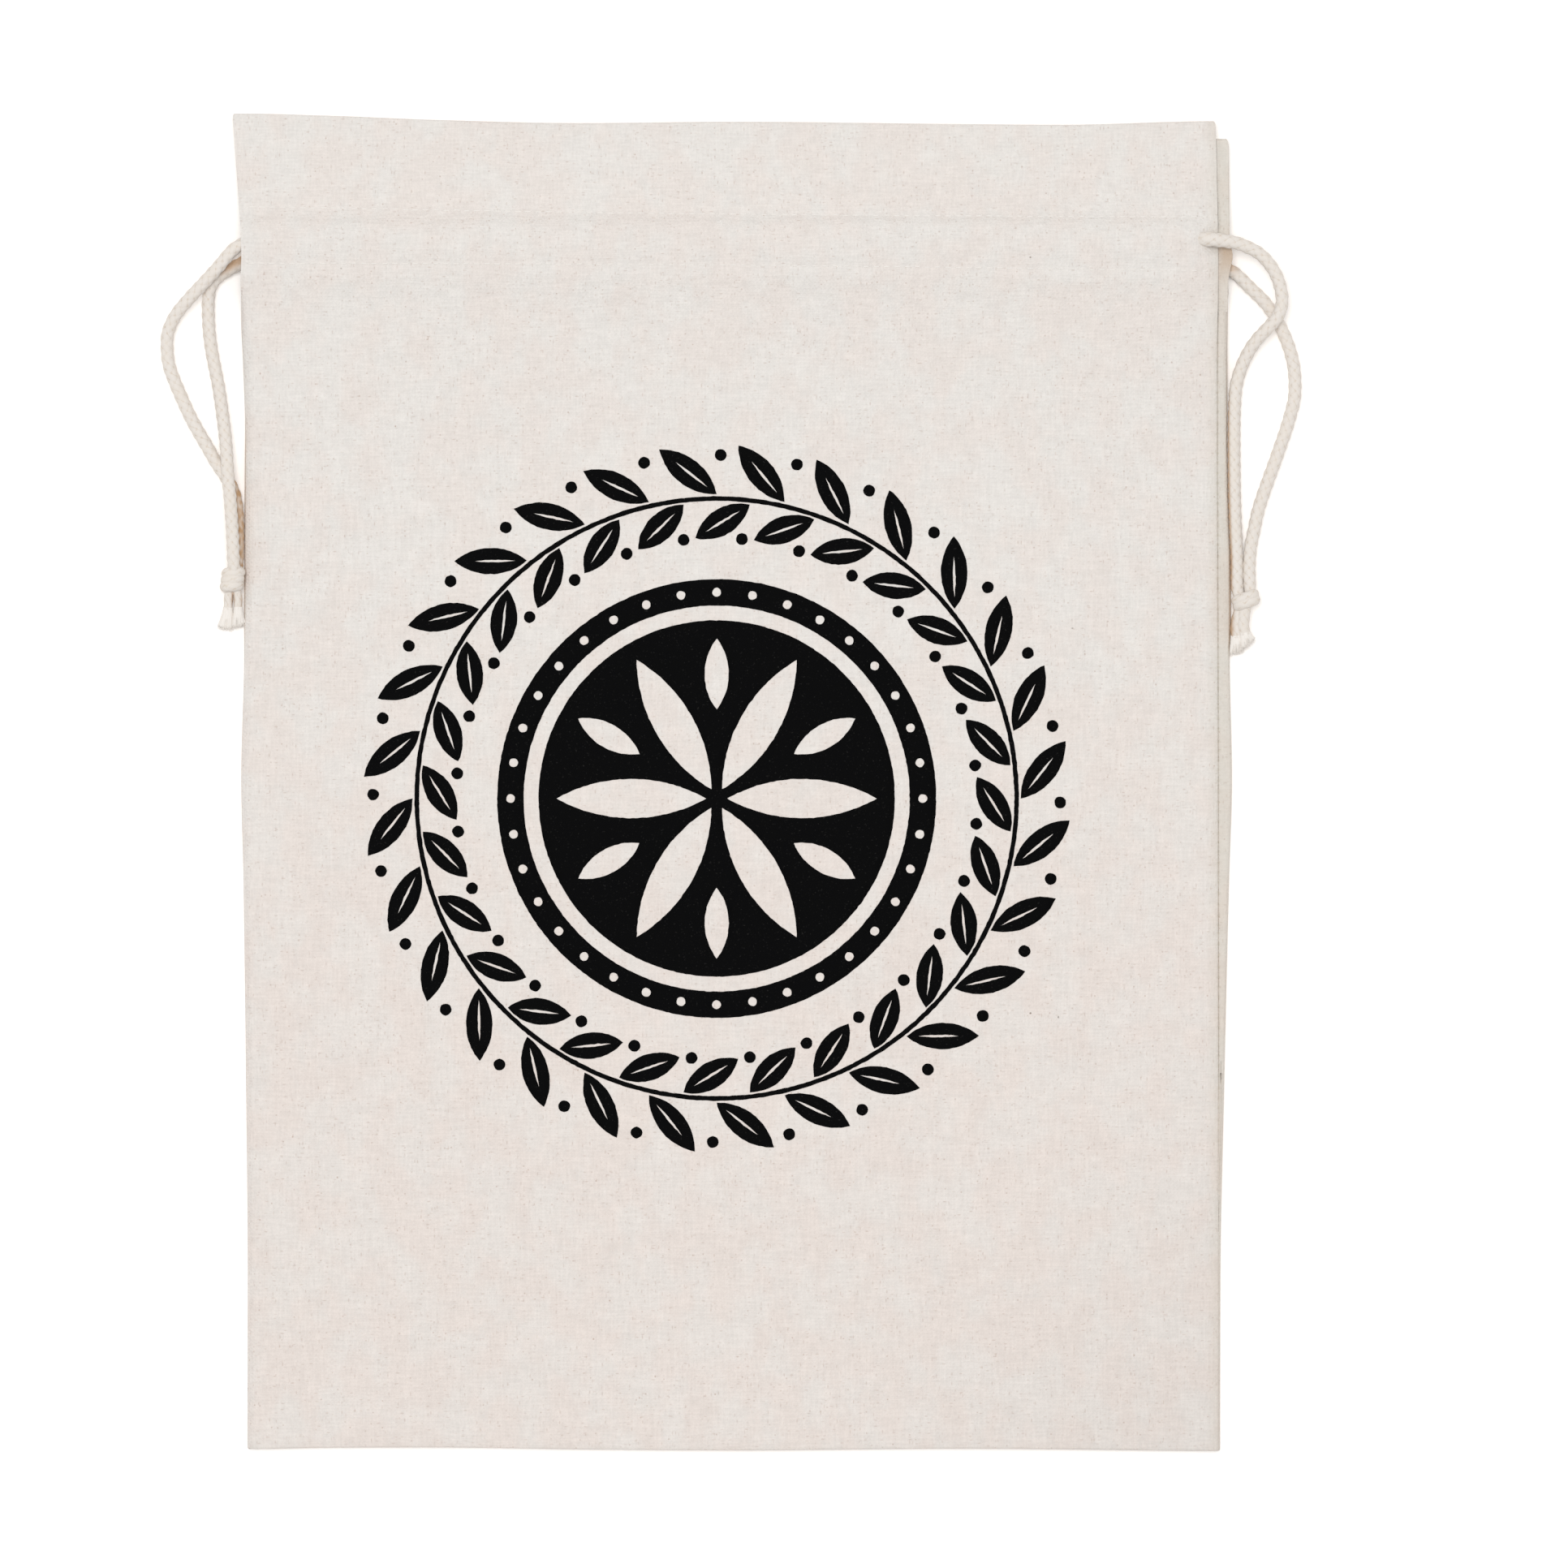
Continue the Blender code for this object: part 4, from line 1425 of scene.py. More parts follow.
@dataclass
class Braid:
    """A length of round braided cord, its crossing strands raised in the mesh."""

    name: str
    route: Sequence[Vector]
    radius: float = 2.0
    width: float = 1.0
    height: float = 1.0
    shade: Callable[[Vector, Vector, float], float] | None = None
    upright: Place = (0.0, 0.0, 1.0)
    start_scale: float = 1.0
    end_scale: float = 1.0
    start_grip: float = 6.0
    end_grip: float = 6.0
    around: int = 32
    step: float = 0.4
    carriers: int = 4
    lay_length: float = 3.1
    crown: float = 0.6
    dive: float = 0.5
    depth: float = 0.3

    def raised(self, turn: float, travelled: float) -> float:
        """Return how high the braid stands, from 0 between its strands to 1 on their crowns.

        Args:
            turn: The place round the cord, from 0 to 1.
            travelled: The distance along it.

        Returns:
            The share of the braid's depth.
        """
        a = self.carriers * turn + travelled / self.lay_length
        b = self.carriers * turn - travelled / self.lay_length
        over = 1.0 if (math.floor(a) + math.floor(b)) % 2 == 0 else -1.0
        in_a = a - math.floor(a) - 0.5
        in_b = b - math.floor(b) - 0.5
        arch_a = math.cos(math.pi * in_a)
        arch_b = math.cos(math.pi * in_b)
        first = arch_a**self.crown * (0.5 + 0.5 * over * arch_b**self.dive)
        second = arch_b**self.crown * (0.5 - 0.5 * over * arch_a**self.dive)
        return max(first, second)

    def scale(self, travelled: float, length: float) -> float:
        """Thin the cord towards its ends.

        Args:
            travelled: The distance along the cord.
            length: The cord's length.

        Returns:
            The share of its full thickness.
        """
        start = self.start_scale + (1.0 - self.start_scale) * smooth_step(0.0, self.start_grip, travelled)
        end = self.end_scale + (1.0 - self.end_scale) * smooth_step(0.0, self.end_grip, length - travelled)
        return start * end

    def add_to(self, mesh: BMesh) -> list[Vector]:
        """Add the cord to a bmesh.

        Args:
            mesh: The bmesh, in metres, which has float layers named lay and shade on its points.

        Returns:
            The points of the cord's centreline, in millimetres.
        """
        path = smooth_route(self.route, self.step)
        length = sum((b - a).length for a, b in zip(path, path[1:]))
        layer = mesh.verts.layers.float["lay"]
        shade = mesh.verts.layers.float["shade"]
        rows = len(path) - 1
        made = bmesh.ops.create_grid(mesh, x_segments=self.around, y_segments=rows, size=1.0)["verts"]
        frames = []
        for k, point in enumerate(path):
            along = (path[min(rows, k + 1)] - path[max(0, k - 1)]).normalized()
            sideways = along.cross(Vector(self.upright)).normalized()
            frames.append((point, sideways, sideways.cross(along)))
        for vertex in made:
            turn = (vertex.co.x + 1.0) * 0.5
            j = grid_step(vertex.co.y, rows)
            travelled = length * j / rows
            point, sideways, up = frames[j]
            lay = self.raised(turn % 1.0, travelled)
            reach = self.radius * self.scale(travelled, length) - self.depth * (1.0 - lay)
            angle = math.tau * turn
            out = sideways * (math.cos(angle) * self.width) + up * (math.sin(angle) * self.height)
            place = point + out * reach
            vertex.co = place * MM
            vertex[layer] = lay
            vertex[shade] = self.shade(place, out, travelled) if self.shade else 0.0
        bmesh.ops.remove_doubles(mesh, verts=made, dist=WELD)
        return path

    def build(self, finish: Material) -> tuple[Object, list[Vector]]:
        """Make the cord as a piece of its own, with closed ends.

        Args:
            finish: The cord's material.

        Returns:
            The cord, and the points of its centreline in millimetres.
        """
        mesh = cord_mesh()
        path = self.add_to(mesh)
        return closed_piece(self.name, mesh, finish), path


def closed_piece(name: str, mesh: BMesh, finish: Material) -> Object:
    """Close a bmesh's open ends, turn its faces outwards and make it a smooth piece.

    Args:
        name: The piece's name.
        mesh: The bmesh.
        finish: The piece's material.

    Returns:
        The piece.
    """
    bmesh.ops.holes_fill(mesh, edges=[edge for edge in mesh.edges if edge.is_boundary], sides=0)
    bmesh.ops.recalc_face_normals(mesh, faces=mesh.faces)
    return settled(object_from(name, mesh, finish), sharp=70.0)


@dataclass(frozen=True)
class Strand:
    """A free end of a drawcord, from inside its channel to inside its knot."""

    name: str
    node: str
    knot: str
    route: tuple[Place, ...]
    shaded_to: float = 0.0
    # How strongly painted shade browns the strand in the wedge beside the bag.
    wedge_shade: float = 0.0
    start_scale: float = 1.0
    start_grip: float = 22.0
    end_scale: float = 0.9
    start_shade: float = 0.75
    shade_fade: float = 5.0
    shaded_side: Step = Step(-0.9, 0.4)
    wedge_shade_length: Step = Step(98.0, 91.0)
    wedge_shade_width: Step = Step(-153.2, -151.4)
    wedge_shade_patches: float = 0.7
    wedge_shade_most: float = 0.9
    contact_reach: float = 1.0

    def build(self, finish: Material, shape: BagShape) -> tuple[Object, list[Vector]]:
        """Braid the strand along its route.

        Args:
            finish: The cord's material.
            shape: The bag's shape.

        Returns:
            The strand and its centreline's points, in millimetres.
        """

        def shade(place: Vector, out: Vector, travelled: float) -> float:
            """Shade a point of the strand.

            Args:
                place: The point.
                out: Its direction from the centreline.
                travelled: Its distance along the cord.

            Returns:
                The depth of shade, from 0 to 1.
            """
            full = self.shaded_to - self.shade_fade
            start = self.start_shade * smooth_step(self.shaded_to, full, travelled)
            start *= self.shaded_side.at(out.y)
            # Painted shade: the strand is browned in patches where it lies in the shaded wedge between the other
            # strand and the bag's side.
            in_wedge_shade = self.wedge_shade_length.at(place.y) * self.wedge_shade_width.at(place.x)
            patch = noise.noise(Vector((place.x * 1.2, place.y / 1.8, 9.1)))
            in_wedge_shade *= self.wedge_shade_patches + self.wedge_shade_patches * patch
            in_wedge_shade = min(self.wedge_shade_most, max(0.0, in_wedge_shade)) * self.wedge_shade
            return max(start, in_wedge_shade, shape.contact(place, self.contact_reach))

        points = [Vector(place) for place in self.route]
        braid = Braid(
            self.name, points, start_scale=self.start_scale, start_grip=self.start_grip,
            end_scale=self.end_scale, shade=shade,
        )
        thing, path = braid.build(finish)
        return fitted(thing, Slot.COTTON, self.node), path


STRANDS = (
    Strand(
        name="left_front_strand", node="strand_left_front", knot="left_knot", wedge_shade=1.0,
        route=(
            (-147.0, 163.4, 6.3), (-148.9, 162.6, 6.3), (-151.5, 160.7, 6.4), (-155.5, 156.0, 6.4),
            (-160.3, 150.8, 5.9), (-164.9, 146.0, 4.8), (-168.8, 141.2, 3.5), (-171.0, 136.3, 2.5),
            (-171.3, 131.4, 2.15), (-170.7, 126.4, 2.1), (-169.0, 121.5, 2.1), (-166.9, 116.6, 2.1),
            (-164.7, 111.7, 2.1), (-162.1, 106.8, 2.1), (-159.2, 101.8, 2.1), (-156.4, 96.9, 2.1),
            (-153.4, 92.4, 2.1), (-151.2, 88.2, 2.1), (-150.2, 83.4, 2.1), (-149.9, 78.0, 2.1),
            (-149.9, 71.6, 2.1), (-150.1, 66.2, 2.2), (-150.6, 62.0, 3.0),
        ),
    ),
    Strand(
        name="left_back_strand", node="strand_left_back", knot="left_knot", shaded_to=15.0,
        route=(
            (-143.5, 159.6, 2.8), (-146.6, 158.4, 2.8), (-149.8, 156.8, 2.6), (-153.2, 155.0, 2.3),
            (-156.3, 152.8, 2.1), (-158.2, 149.8, 2.1), (-158.8, 145.9, 2.1), (-158.8, 141.2, 2.1),
            (-158.5, 136.3, 2.1), (-157.9, 131.4, 2.1), (-156.9, 126.0, 2.15), (-155.9, 121.0, 2.35),
            (-155.1, 116.0, 2.6), (-154.3, 110.5, 3.1), (-153.6, 105.0, 3.8), (-153.1, 99.4, 4.6),
            (-152.6, 92.5, 5.7), (-152.0, 86.6, 6.2), (-151.5, 79.7, 6.4), (-151.1, 72.5, 6.4),
            (-150.9, 66.4, 6.2), (-150.5, 62.0, 5.1),
        ),
    ),
    Strand(
        name="right_front_strand", node="strand_right_front", knot="right_knot", start_scale=1.17,
        route=(
            (138.4, 164.6, 4.4), (140.7, 164.5, 5.0), (142.0, 164.4, 7.1), (143.4, 164.3, 8.6),
            (145.8, 164.1, 8.85), (148.4, 163.8, 8.5), (152.3, 163.2, 8.1), (155.7, 162.0, 7.7),
            (159.2, 160.2, 7.3), (162.2, 157.3, 7.0), (164.6, 153.6, 6.8), (166.0, 149.4, 6.8),
            (166.4, 145.0, 6.8), (165.1, 141.0, 6.8), (162.4, 137.8, 6.4), (159.3, 134.5, 5.2),
            (156.7, 130.8, 3.7), (154.5, 126.2, 2.6), (153.0, 121.3, 2.2), (152.4, 116.0, 2.1),
            (152.15, 107.5, 2.1), (152.2, 93.0, 2.1), (152.4, 82.0, 2.1), (152.8, 72.0, 2.2),
            (153.0, 65.0, 2.5), (153.1, 58.6, 3.1), (154.2, 55.2, 3.3),
        ),
    ),
    Strand(
        name="right_back_strand", node="strand_right_back", knot="right_knot", shaded_to=6.5,
        route=(
            (148.0, 156.2, 2.8), (150.4, 155.4, 2.8), (152.4, 154.2, 2.7), (154.7, 152.2, 2.4),
            (157.4, 149.5, 2.2), (161.1, 145.9, 2.1), (164.4, 141.4, 2.1), (167.0, 136.4, 2.1),
            (169.0, 131.2, 2.1), (170.2, 126.2, 2.1), (170.6, 121.3, 2.1), (170.4, 116.4, 2.1),
            (169.2, 111.4, 2.1), (167.7, 106.4, 2.1), (166.0, 101.5, 2.1), (164.3, 96.6, 2.1),
            (162.5, 91.7, 2.1), (160.8, 86.8, 2.1), (159.3, 81.9, 2.1), (158.3, 77.0, 2.1),
            (157.2, 71.6, 2.2), (156.7, 65.5, 2.5), (156.8, 59.6, 3.0), (157.0, 55.8, 3.3),
        ),
    ),
)


@dataclass(frozen=True)
class HeldRun:
    """The part of a drawcord that a channel holds, pressed flatter than it is wide."""

    name: str
    node: str
    route: tuple[Place, ...]
    pressed_width: float = 4.7
    pressed_height: float = 2.9

    def build(self, finish: Material) -> Object:
        """Braid the run along its route.

        Args:
            finish: The cord's material.

        Returns:
            The run.
        """
        points = [Vector(place) for place in self.route]
        width, height = self.pressed_width / CORD_WIDTH, self.pressed_height / CORD_WIDTH
        braid = Braid(self.name, points, width=width, height=height, around=24, step=0.75)
        return fitted(braid.build(finish)[0], Slot.COTTON, self.node)


RUNS = (
    HeldRun(
        name="front_held_cord", node="cord_front_run",
        route=(
            (-146.8, 163.1, 6.3), (-142.0, 164.4, 6.3), (-130.0, 164.5, 6.3), (0.0, 164.5, 6.3),
            (138.8, 164.5, 6.3),
        ),
    ),
    HeldRun(
        name="back_held_cord", node="cord_back_run",
        route=((-142.8, 156.6, 2.8), (0.0, 156.6, 2.8), (147.8, 156.6, 2.8)),
    ),
)


@dataclass(frozen=True)
class Tail:
    """One cord's tail, from inside the knot to its frayed end."""

    core: Place
    middle: Place
    end: Place
    radius: float
    fray: float
    drift: float
    flare: float
    slant: float
    around: int = 64
    rows: int = 12
    cap_rows: int = 9
    rooted: float = 0.7
    sink: float = 0.5
    root_thickness: float = 0.95
    flattened: float = 0.35
    root_share: float = 0.96
    flare_power: float = 1.4
    ridge: float = 0.34
    ridge_pitch: float = 5.5
    rough: float = 0.5
    rough_pitch: float = 2.6
    domed: float = 0.9
    lowest: float = 0.1

    def thickness(self, part: float) -> float:
        """Return how thick the tuft is for its width at a share of its length."""
        return self.root_thickness - self.flattened * part * part

    def ways(self) -> tuple[Vector, Vector, Vector]:
        """Give the tail's directions at its end.

        Returns:
            Its own direction, the one to its side and the one up from it.
        """
        along = (Vector(self.end) - Vector(self.middle)).normalized()
        sideways = along.cross(Vector((0.0, 0.0, 1.0))).normalized()
        return along, sideways, sideways.cross(along)

    def spread(self, part: float) -> float:
        """Return the tuft's radius at a share of its length."""
        return self.root_share * self.radius + self.flare * part**self.flare_power

    def reach(self, way: Vector) -> float:
        """Return the tuft's length at one side of it."""
        return self.fray + self.slant * way.x

    def add_tuft(self, mesh: BMesh, seed: float) -> None:
        """Add the tail's tuft of fibres, which stand out as ridges and end unevenly.

        Args:
            mesh: The bmesh, in metres.
            seed: What makes this tuft unlike others.
        """
        along, sideways, up = self.ways()
        root = Vector(self.end) - along * self.rooted
        layer = mesh.verts.layers.float["lay"]
        last = self.rows + self.cap_rows
        made = bmesh.ops.create_grid(mesh, x_segments=self.around, y_segments=last, size=1.0)["verts"]
        for vertex in made:
            angle = math.pi * (vertex.co.x + 1.0)
            j = grid_step(vertex.co.y, last)
            part = min(1.0, j / self.rows)
            cap = max(0, j - self.rows) / self.cap_rows
            way = direction(angle)
            x, y = (value * self.ridge_pitch for value in way)
            ridge = noise.noise(Vector((x, y, seed + 0.7 * part)))
            radius = (self.spread(part) + self.ridge * ridge * (0.35 + 0.65 * part)) * (1.0 - cap)
            rough = 0.0
            if cap > 0.0:
                x, y = (value * radius * self.rough_pitch for value in way)
                rough = self.rough * noise.noise(Vector((x, y, seed + 40.0)))
            rim = self.rooted + self.reach(way * (1.0 - cap)) - self.domed * (1.0 - cap) ** 2
            length = rim * part + rough
            place = root + along * length + (sideways * way.x + up * way.y * self.thickness(part)) * radius
            place += sideways * self.drift * part * part
            place.z = max(place.z - self.sink * part * part, self.lowest)
            vertex.co = place * MM
            vertex[layer] = LOOSE_LAY
        bmesh.ops.remove_doubles(mesh, verts=made, dist=WELD)


@dataclass(frozen=True)
class CordKnot:
    """An overhand knot in two cords: turns of cord round them, and their frayed tails."""

    name: str
    node: str
    centre: Place
    slant: float
    turns: float
    pitch: float
    turn_radius: float
    turn_cord: float
    tails: tuple[Tail, ...]
    seed: int
    phase: float = 0.5
    parting_shade: float = 0.0
    parted_at: float = 0.0
    flatness: float = 0.9
    fibres: int = 80
    fibre_radius: float = 0.09
    fibre_steps: int = 4
    fibre_root: float = 0.45
    fibre_lift: float = 0.12
    fibre_inner: float = 0.2
    fibre_short: float = 0.9
    fibre_long: float = 0.5
    fibre_curl: float = 0.4
    fibre_floor: float = 0.15
    fibre_full: float = 1.2
    fibre_thinned: float = 0.6
    contact_reach: float = 1.7
    turn_points: int = 14
    core_share: float = 0.3
    closeness: float = 0.86
    wrap_taper: float = 0.75
    wrap_grip: float = 3.0
    wrap_depth: float = 0.14
    tail_taper: float = 0.96
    tail_depth: float = 0.2
    tuft_seed: float = 7.3
    parting_width: Step = Step(0.75, 0.15)
    ends_dive: Window = Window(0.0, 0.12, 0.88, 1.0)
    tails_part: Window = Window(53.0, 54.0, 57.0, 58.0)

    def wrap_route(self) -> list[Vector]:
        """Wind the turns, whose two ends dive into the knot.

        Returns:
            The route's points.
        """
        centre = Vector(self.centre)
        slanted = Matrix.Rotation(math.radians(self.slant), 3, "Z")
        points = []
        count = round(self.turns * self.turn_points)
        for k in range(count + 1):
            part = k / count
            angle = math.tau * self.turns * (part - 0.5) + self.phase * math.pi
            out = self.core_share + (1.0 - self.core_share) * self.ends_dive.share(part)
            radius = self.turn_radius * out
            along = self.pitch * self.turns * (0.5 - part) * self.closeness
            place = Vector((radius * math.cos(angle), along, radius * self.flatness * math.sin(angle)))
            points.append(centre + slanted @ place)
        return points

    def build(self, finish: Material, shape: BagShape) -> Object:
        """Tie the knot.

        Args:
            finish: The cord's material.
            shape: The bag's shape.

        Returns:
            The knot with its tails.
        """

        def shade(place: Vector, out: Vector, travelled: float) -> float:
            """Shade a point of the knot.

            Args:
                place: The point.
                out: Its direction from the centreline; not used.
                travelled: Its distance along the cord; not used.

            Returns:
                The depth of shade, from 0 to 1.
            """
            # Painted shade in the narrow gap between the two tails.
            between = self.parting_shade * self.parting_width.at(abs(place.x - self.parted_at))
            between *= self.tails_part.share(place.y)
            return max(shape.contact(place, self.contact_reach), between)

        mesh = cord_mesh()
        wrap = Braid(
            self.name, self.wrap_route(), radius=self.turn_cord, upright=(0.0, 1.0, 0.0),
            start_scale=self.wrap_taper, end_scale=self.wrap_taper, start_grip=self.wrap_grip,
            end_grip=self.wrap_grip, depth=self.wrap_depth, shade=shade,
        )
        wrap.add_to(mesh)
        for number, tail in enumerate(self.tails):
            points = [Vector(tail.core), Vector(tail.middle), Vector(tail.end)]
            braid = Braid(
                self.name, points, radius=tail.radius, end_scale=self.tail_taper,
                depth=self.tail_depth, shade=shade,
            )
            braid.add_to(mesh)
            tail.add_tuft(mesh, self.seed + self.tuft_seed * number)
        return closed_piece(self.name, mesh, finish)

    def fray(self, finish: Material) -> Object:
        """Fray the tufts' ends into loose fibres.

        Args:
            finish: The cord's material.

        Returns:
            The fibres, joined in one piece.
        """
        chance = random.Random(self.seed)
        data = bpy.data.curves.new(self.name + "_fray", "CURVE")
        data.dimensions = "3D"
        data.bevel_depth = self.fibre_radius * MM
        data.bevel_resolution = 0
        for tail in self.tails:
            along, sideways, up = tail.ways()
            for _ in range(self.fibres):
                angle = chance.uniform(0.0, math.tau)
                out = math.sqrt(chance.uniform(self.fibre_inner, 1.0))
                way = direction(angle) * out
                length = tail.reach(way) + chance.uniform(-self.fibre_short, self.fibre_long)
                curl = chance.uniform(-self.fibre_curl, self.fibre_curl)
                spline = data.splines.new("POLY")
                spline.points.add(self.fibre_steps)
                for k, point in enumerate(spline.points):
                    part = self.fibre_root + (1.0 - self.fibre_root) * k / self.fibre_steps
                    aside = sideways * way.x + up * way.y * tail.thickness(part)
                    aside *= tail.spread(part) + self.fibre_lift
                    place = Vector(tail.end) + along * length * part + aside
                    place += sideways * (tail.drift * part * part + curl * (part - self.fibre_root) ** 2)
                    place.z -= tail.sink * part * part
                    place.z = max(place.z, self.fibre_floor + self.fibre_radius)
                    point.co = (*(place * MM), 1.0)
                    point.radius = self.fibre_full - self.fibre_thinned * part
        data.materials.append(finish)
        made = settled(linked(self.name + "_fray", data), sharp=180.0)
        layer = made.data.attributes.new("lay", "FLOAT", "POINT")
        layer.data.foreach_set("value", [LOOSE_LAY] * len(made.data.vertices))
        return made


KNOTS = (
    CordKnot(
        name="left_knot", node="knot_left", centre=(-151.3, 61.5, 4.25), slant=-7.0, turns=3.6,
        pitch=2.25, turn_radius=1.85, turn_cord=1.8,
        tails=(
            Tail(core=(-152.0, 60.0, 3.4), middle=(-152.6, 56.0, 2.9), end=(-152.8, 52.4, 2.5),
                 radius=1.45, fray=6.1, drift=0.5, flare=1.0, slant=-0.3),
            Tail(core=(-150.4, 60.0, 4.2), middle=(-149.8, 56.0, 3.4), end=(-149.8, 52.6, 2.9),
                 radius=1.35, fray=5.6, drift=0.2, flare=0.95, slant=0.5),
        ),
        seed=11, parting_shade=0.6, parted_at=-151.2,
    ),
    CordKnot(
        name="right_knot", node="knot_right", centre=(155.6, 55.2, 3.9), slant=13.0, turns=2.0, pitch=1.8,
        turn_radius=2.65, turn_cord=1.75, phase=1.5, flatness=0.72,
        tails=(
            Tail(core=(154.4, 54.0, 3.2), middle=(153.0, 48.0, 2.6), end=(153.0, 43.8, 2.4),
                 radius=2.0, fray=4.8, drift=0.0, flare=0.3, slant=0.5),
            Tail(core=(155.4, 54.0, 4.2), middle=(154.8, 48.0, 3.6), end=(155.3, 44.8, 3.3),
                 radius=1.9, fray=3.6, drift=-0.5, flare=0.6, slant=1.3),
        ),
        seed=12,
    ),
)


@dataclass
class RoundPrint:
    """A black medallion with a bare six-petalled flower, inside a wreath of leaves."""

    shape: BagShape
    x: float = -4.7
    y: float = -4.9
    film: float = 0.09
    lift: float = 0.05
    cell: float = 4.0
    wobble: float = 0.16
    wobble_pitch: float = 0.9
    point_step: float = 1.0
    medallion: float = 54.0
    band_inner: float = 58.5
    band_outer: float = 66.5
    band_dots: int = 36
    band_dot: float = 1.35
    petals: int = 6
    petal_start: float = 3.2
    petal_end: float = 48.5
    petal_slim: float = 0.262
    between_start: float = 27.0
    between_end: float = 48.5
    between_slim: float = 0.34
    stem_inner: float = 90.2
    stem_outer: float = 91.6
    leaves: int = 28
    leaf_length: float = 22.0
    leaf_width: float = 8.0
    leaf_lean: float = 38.0
    vein: float = 0.75
    berry: float = 1.8
    berry_out: float = 13.2
    berry_in: float = 11.9
    berry_back: float = 1.2
    leaf_off: float = 1.3
    inner_leaf: float = 0.88
    vein_from: float = 0.16
    vein_to: float = 0.72
    reach: float = 125.0

    def circle(self, radius: float, x: float = 0.0, y: float = 0.0) -> list[Vector]:
        """Draw a circle.

        Args:
            radius: The circle's radius.
            x: Its middle across.
            y: Its middle up the print.

        Returns:
            The points.
        """
        count = max(16, round(math.tau * radius / self.point_step))
        turns = [math.tau * k / count for k in range(count)]
        return [Vector((x + radius * math.cos(a), y + radius * math.sin(a))) for a in turns]

    def almond(self, start: Vector, stop: Vector, width: float) -> list[Vector]:
        """Return the points of a pointed oval between two arcs.

        Args:
            start: One tip.
            stop: The other tip.
            width: How wide it is in the middle.

        Returns:
            The points, in millimetres.
        """
        run = stop - start
        aside = Vector((-run.y, run.x)).normalized()
        half = 0.5 * width
        radius = (run.length_squared * 0.25 + half * half) / (2.0 * half)
        count = max(6, round(run.length / self.point_step))
        points = []
        for sign in (1.0, -1.0):
            for k in range(count):
                t = k / count if sign > 0.0 else 1.0 - k / count
                along = (t - 0.5) * run.length
                bow = math.sqrt(radius * radius - along * along) - (radius - half)
                points.append(start + run * t + aside * sign * bow)
        return points

    def outlines(self) -> Iterable[list[Vector]]:
        """Give the print's closed outlines round its own middle, holes among them.

        Yields:
            Each outline's points.
        """
        yield self.circle(self.medallion)
        yield self.circle(self.band_inner)
        yield self.circle(self.band_outer)
        band_middle = 0.5 * (self.band_inner + self.band_outer)
        for k in range(self.band_dots):
            angle = math.tau * k / self.band_dots
            yield self.circle(self.band_dot, band_middle * math.cos(angle), band_middle * math.sin(angle))
        for k in range(2 * self.petals):
            angle = math.pi * k / self.petals
            way = direction(angle)
            start, stop, slim = self.petal_start, self.petal_end, self.petal_slim
            if k % 2:
                start, stop, slim = self.between_start, self.between_end, self.between_slim
            yield self.almond(way * start, way * stop, slim * (stop - start))
        yield self.circle(self.stem_inner)
        yield self.circle(self.stem_outer)
        middle_radius = 0.5 * (self.stem_inner + self.stem_outer)
        for k in range(self.leaves):
            angle = math.tau * k / self.leaves
            for outward in (1.0, -1.0):
                at = angle + (math.pi / self.leaves if outward < 0.0 else 0.0)
                radial = direction(at)
                tangent = Vector((-radial.y, radial.x))
                root = radial * (middle_radius + outward * self.leaf_off)
                lean = math.radians(self.leaf_lean)
                way = tangent * math.cos(lean) + radial * outward * math.sin(lean)
                leaf = way * self.leaf_length
                full = 1.0 if outward > 0.0 else self.inner_leaf
                yield self.almond(root, root + leaf * full, self.leaf_width)
                yield self.almond(root + leaf * self.vein_from, root + leaf * self.vein_to, self.vein)
                beyond = self.berry_out if outward > 0.0 else -self.berry_in
                berry = radial * (middle_radius + beyond) + tangent * (-self.berry_back * outward)
                yield self.circle(self.berry, berry.x, berry.y)

    def build(self, finish: Material) -> Object:
        """Fill the outlines and lay the film of ink on the cloth.

        Args:
            finish: The ink's material.

        Returns:
            The print.
        """
        data = bpy.data.curves.new("round_print", "CURVE")
        data.dimensions = "2D"
        data.fill_mode = "BOTH"
        data.extrude = 0.5 * self.film * MM
        for number, outline in enumerate(self.outlines()):
            spline = data.splines.new("POLY")
            spline.use_cyclic_u = True
            spline.points.add(len(outline) - 1)
            for point, place in zip(spline.points, outline):
                drift = [noise.noise(Vector((place.x, place.y, z)) * self.wobble_pitch) for z in (0.5, 7.5)]
                x = self.x + place.x + self.wobble * drift[0]
                y = self.y + place.y + self.wobble * drift[1]
                point.co = (x * MM, y * MM, 0.0, 1.0)
        data.materials.append(finish)
        thing = settled(linked("round_print", data), sharp=40.0)
        mesh = bmesh.new()
        mesh.from_mesh(thing.data)
        bmesh.ops.remove_doubles(mesh, verts=mesh.verts, dist=WELD)
        count = int(2.0 * self.reach / self.cell)
        for axis, middle in ((Vector((1.0, 0.0, 0.0)), self.x), (Vector((0.0, 1.0, 0.0)), self.y)):
            for k in range(count + 1):
                at = (middle - self.reach + k * self.cell) * MM
                geometry = [*mesh.verts, *mesh.edges, *mesh.faces]
                bmesh.ops.bisect_plane(mesh, geom=geometry, dist=1e-7, plane_co=axis * at, plane_no=axis)
        for vertex in mesh.verts:
            vertex.co.z += (self.shape.front_top(vertex.co.x / MM, vertex.co.y / MM) + self.lift) * MM
        bmesh.ops.recalc_face_normals(mesh, faces=mesh.faces)
        mesh.to_mesh(thing.data)
        mesh.free()
        return fitted(thing, Slot.PRINT)


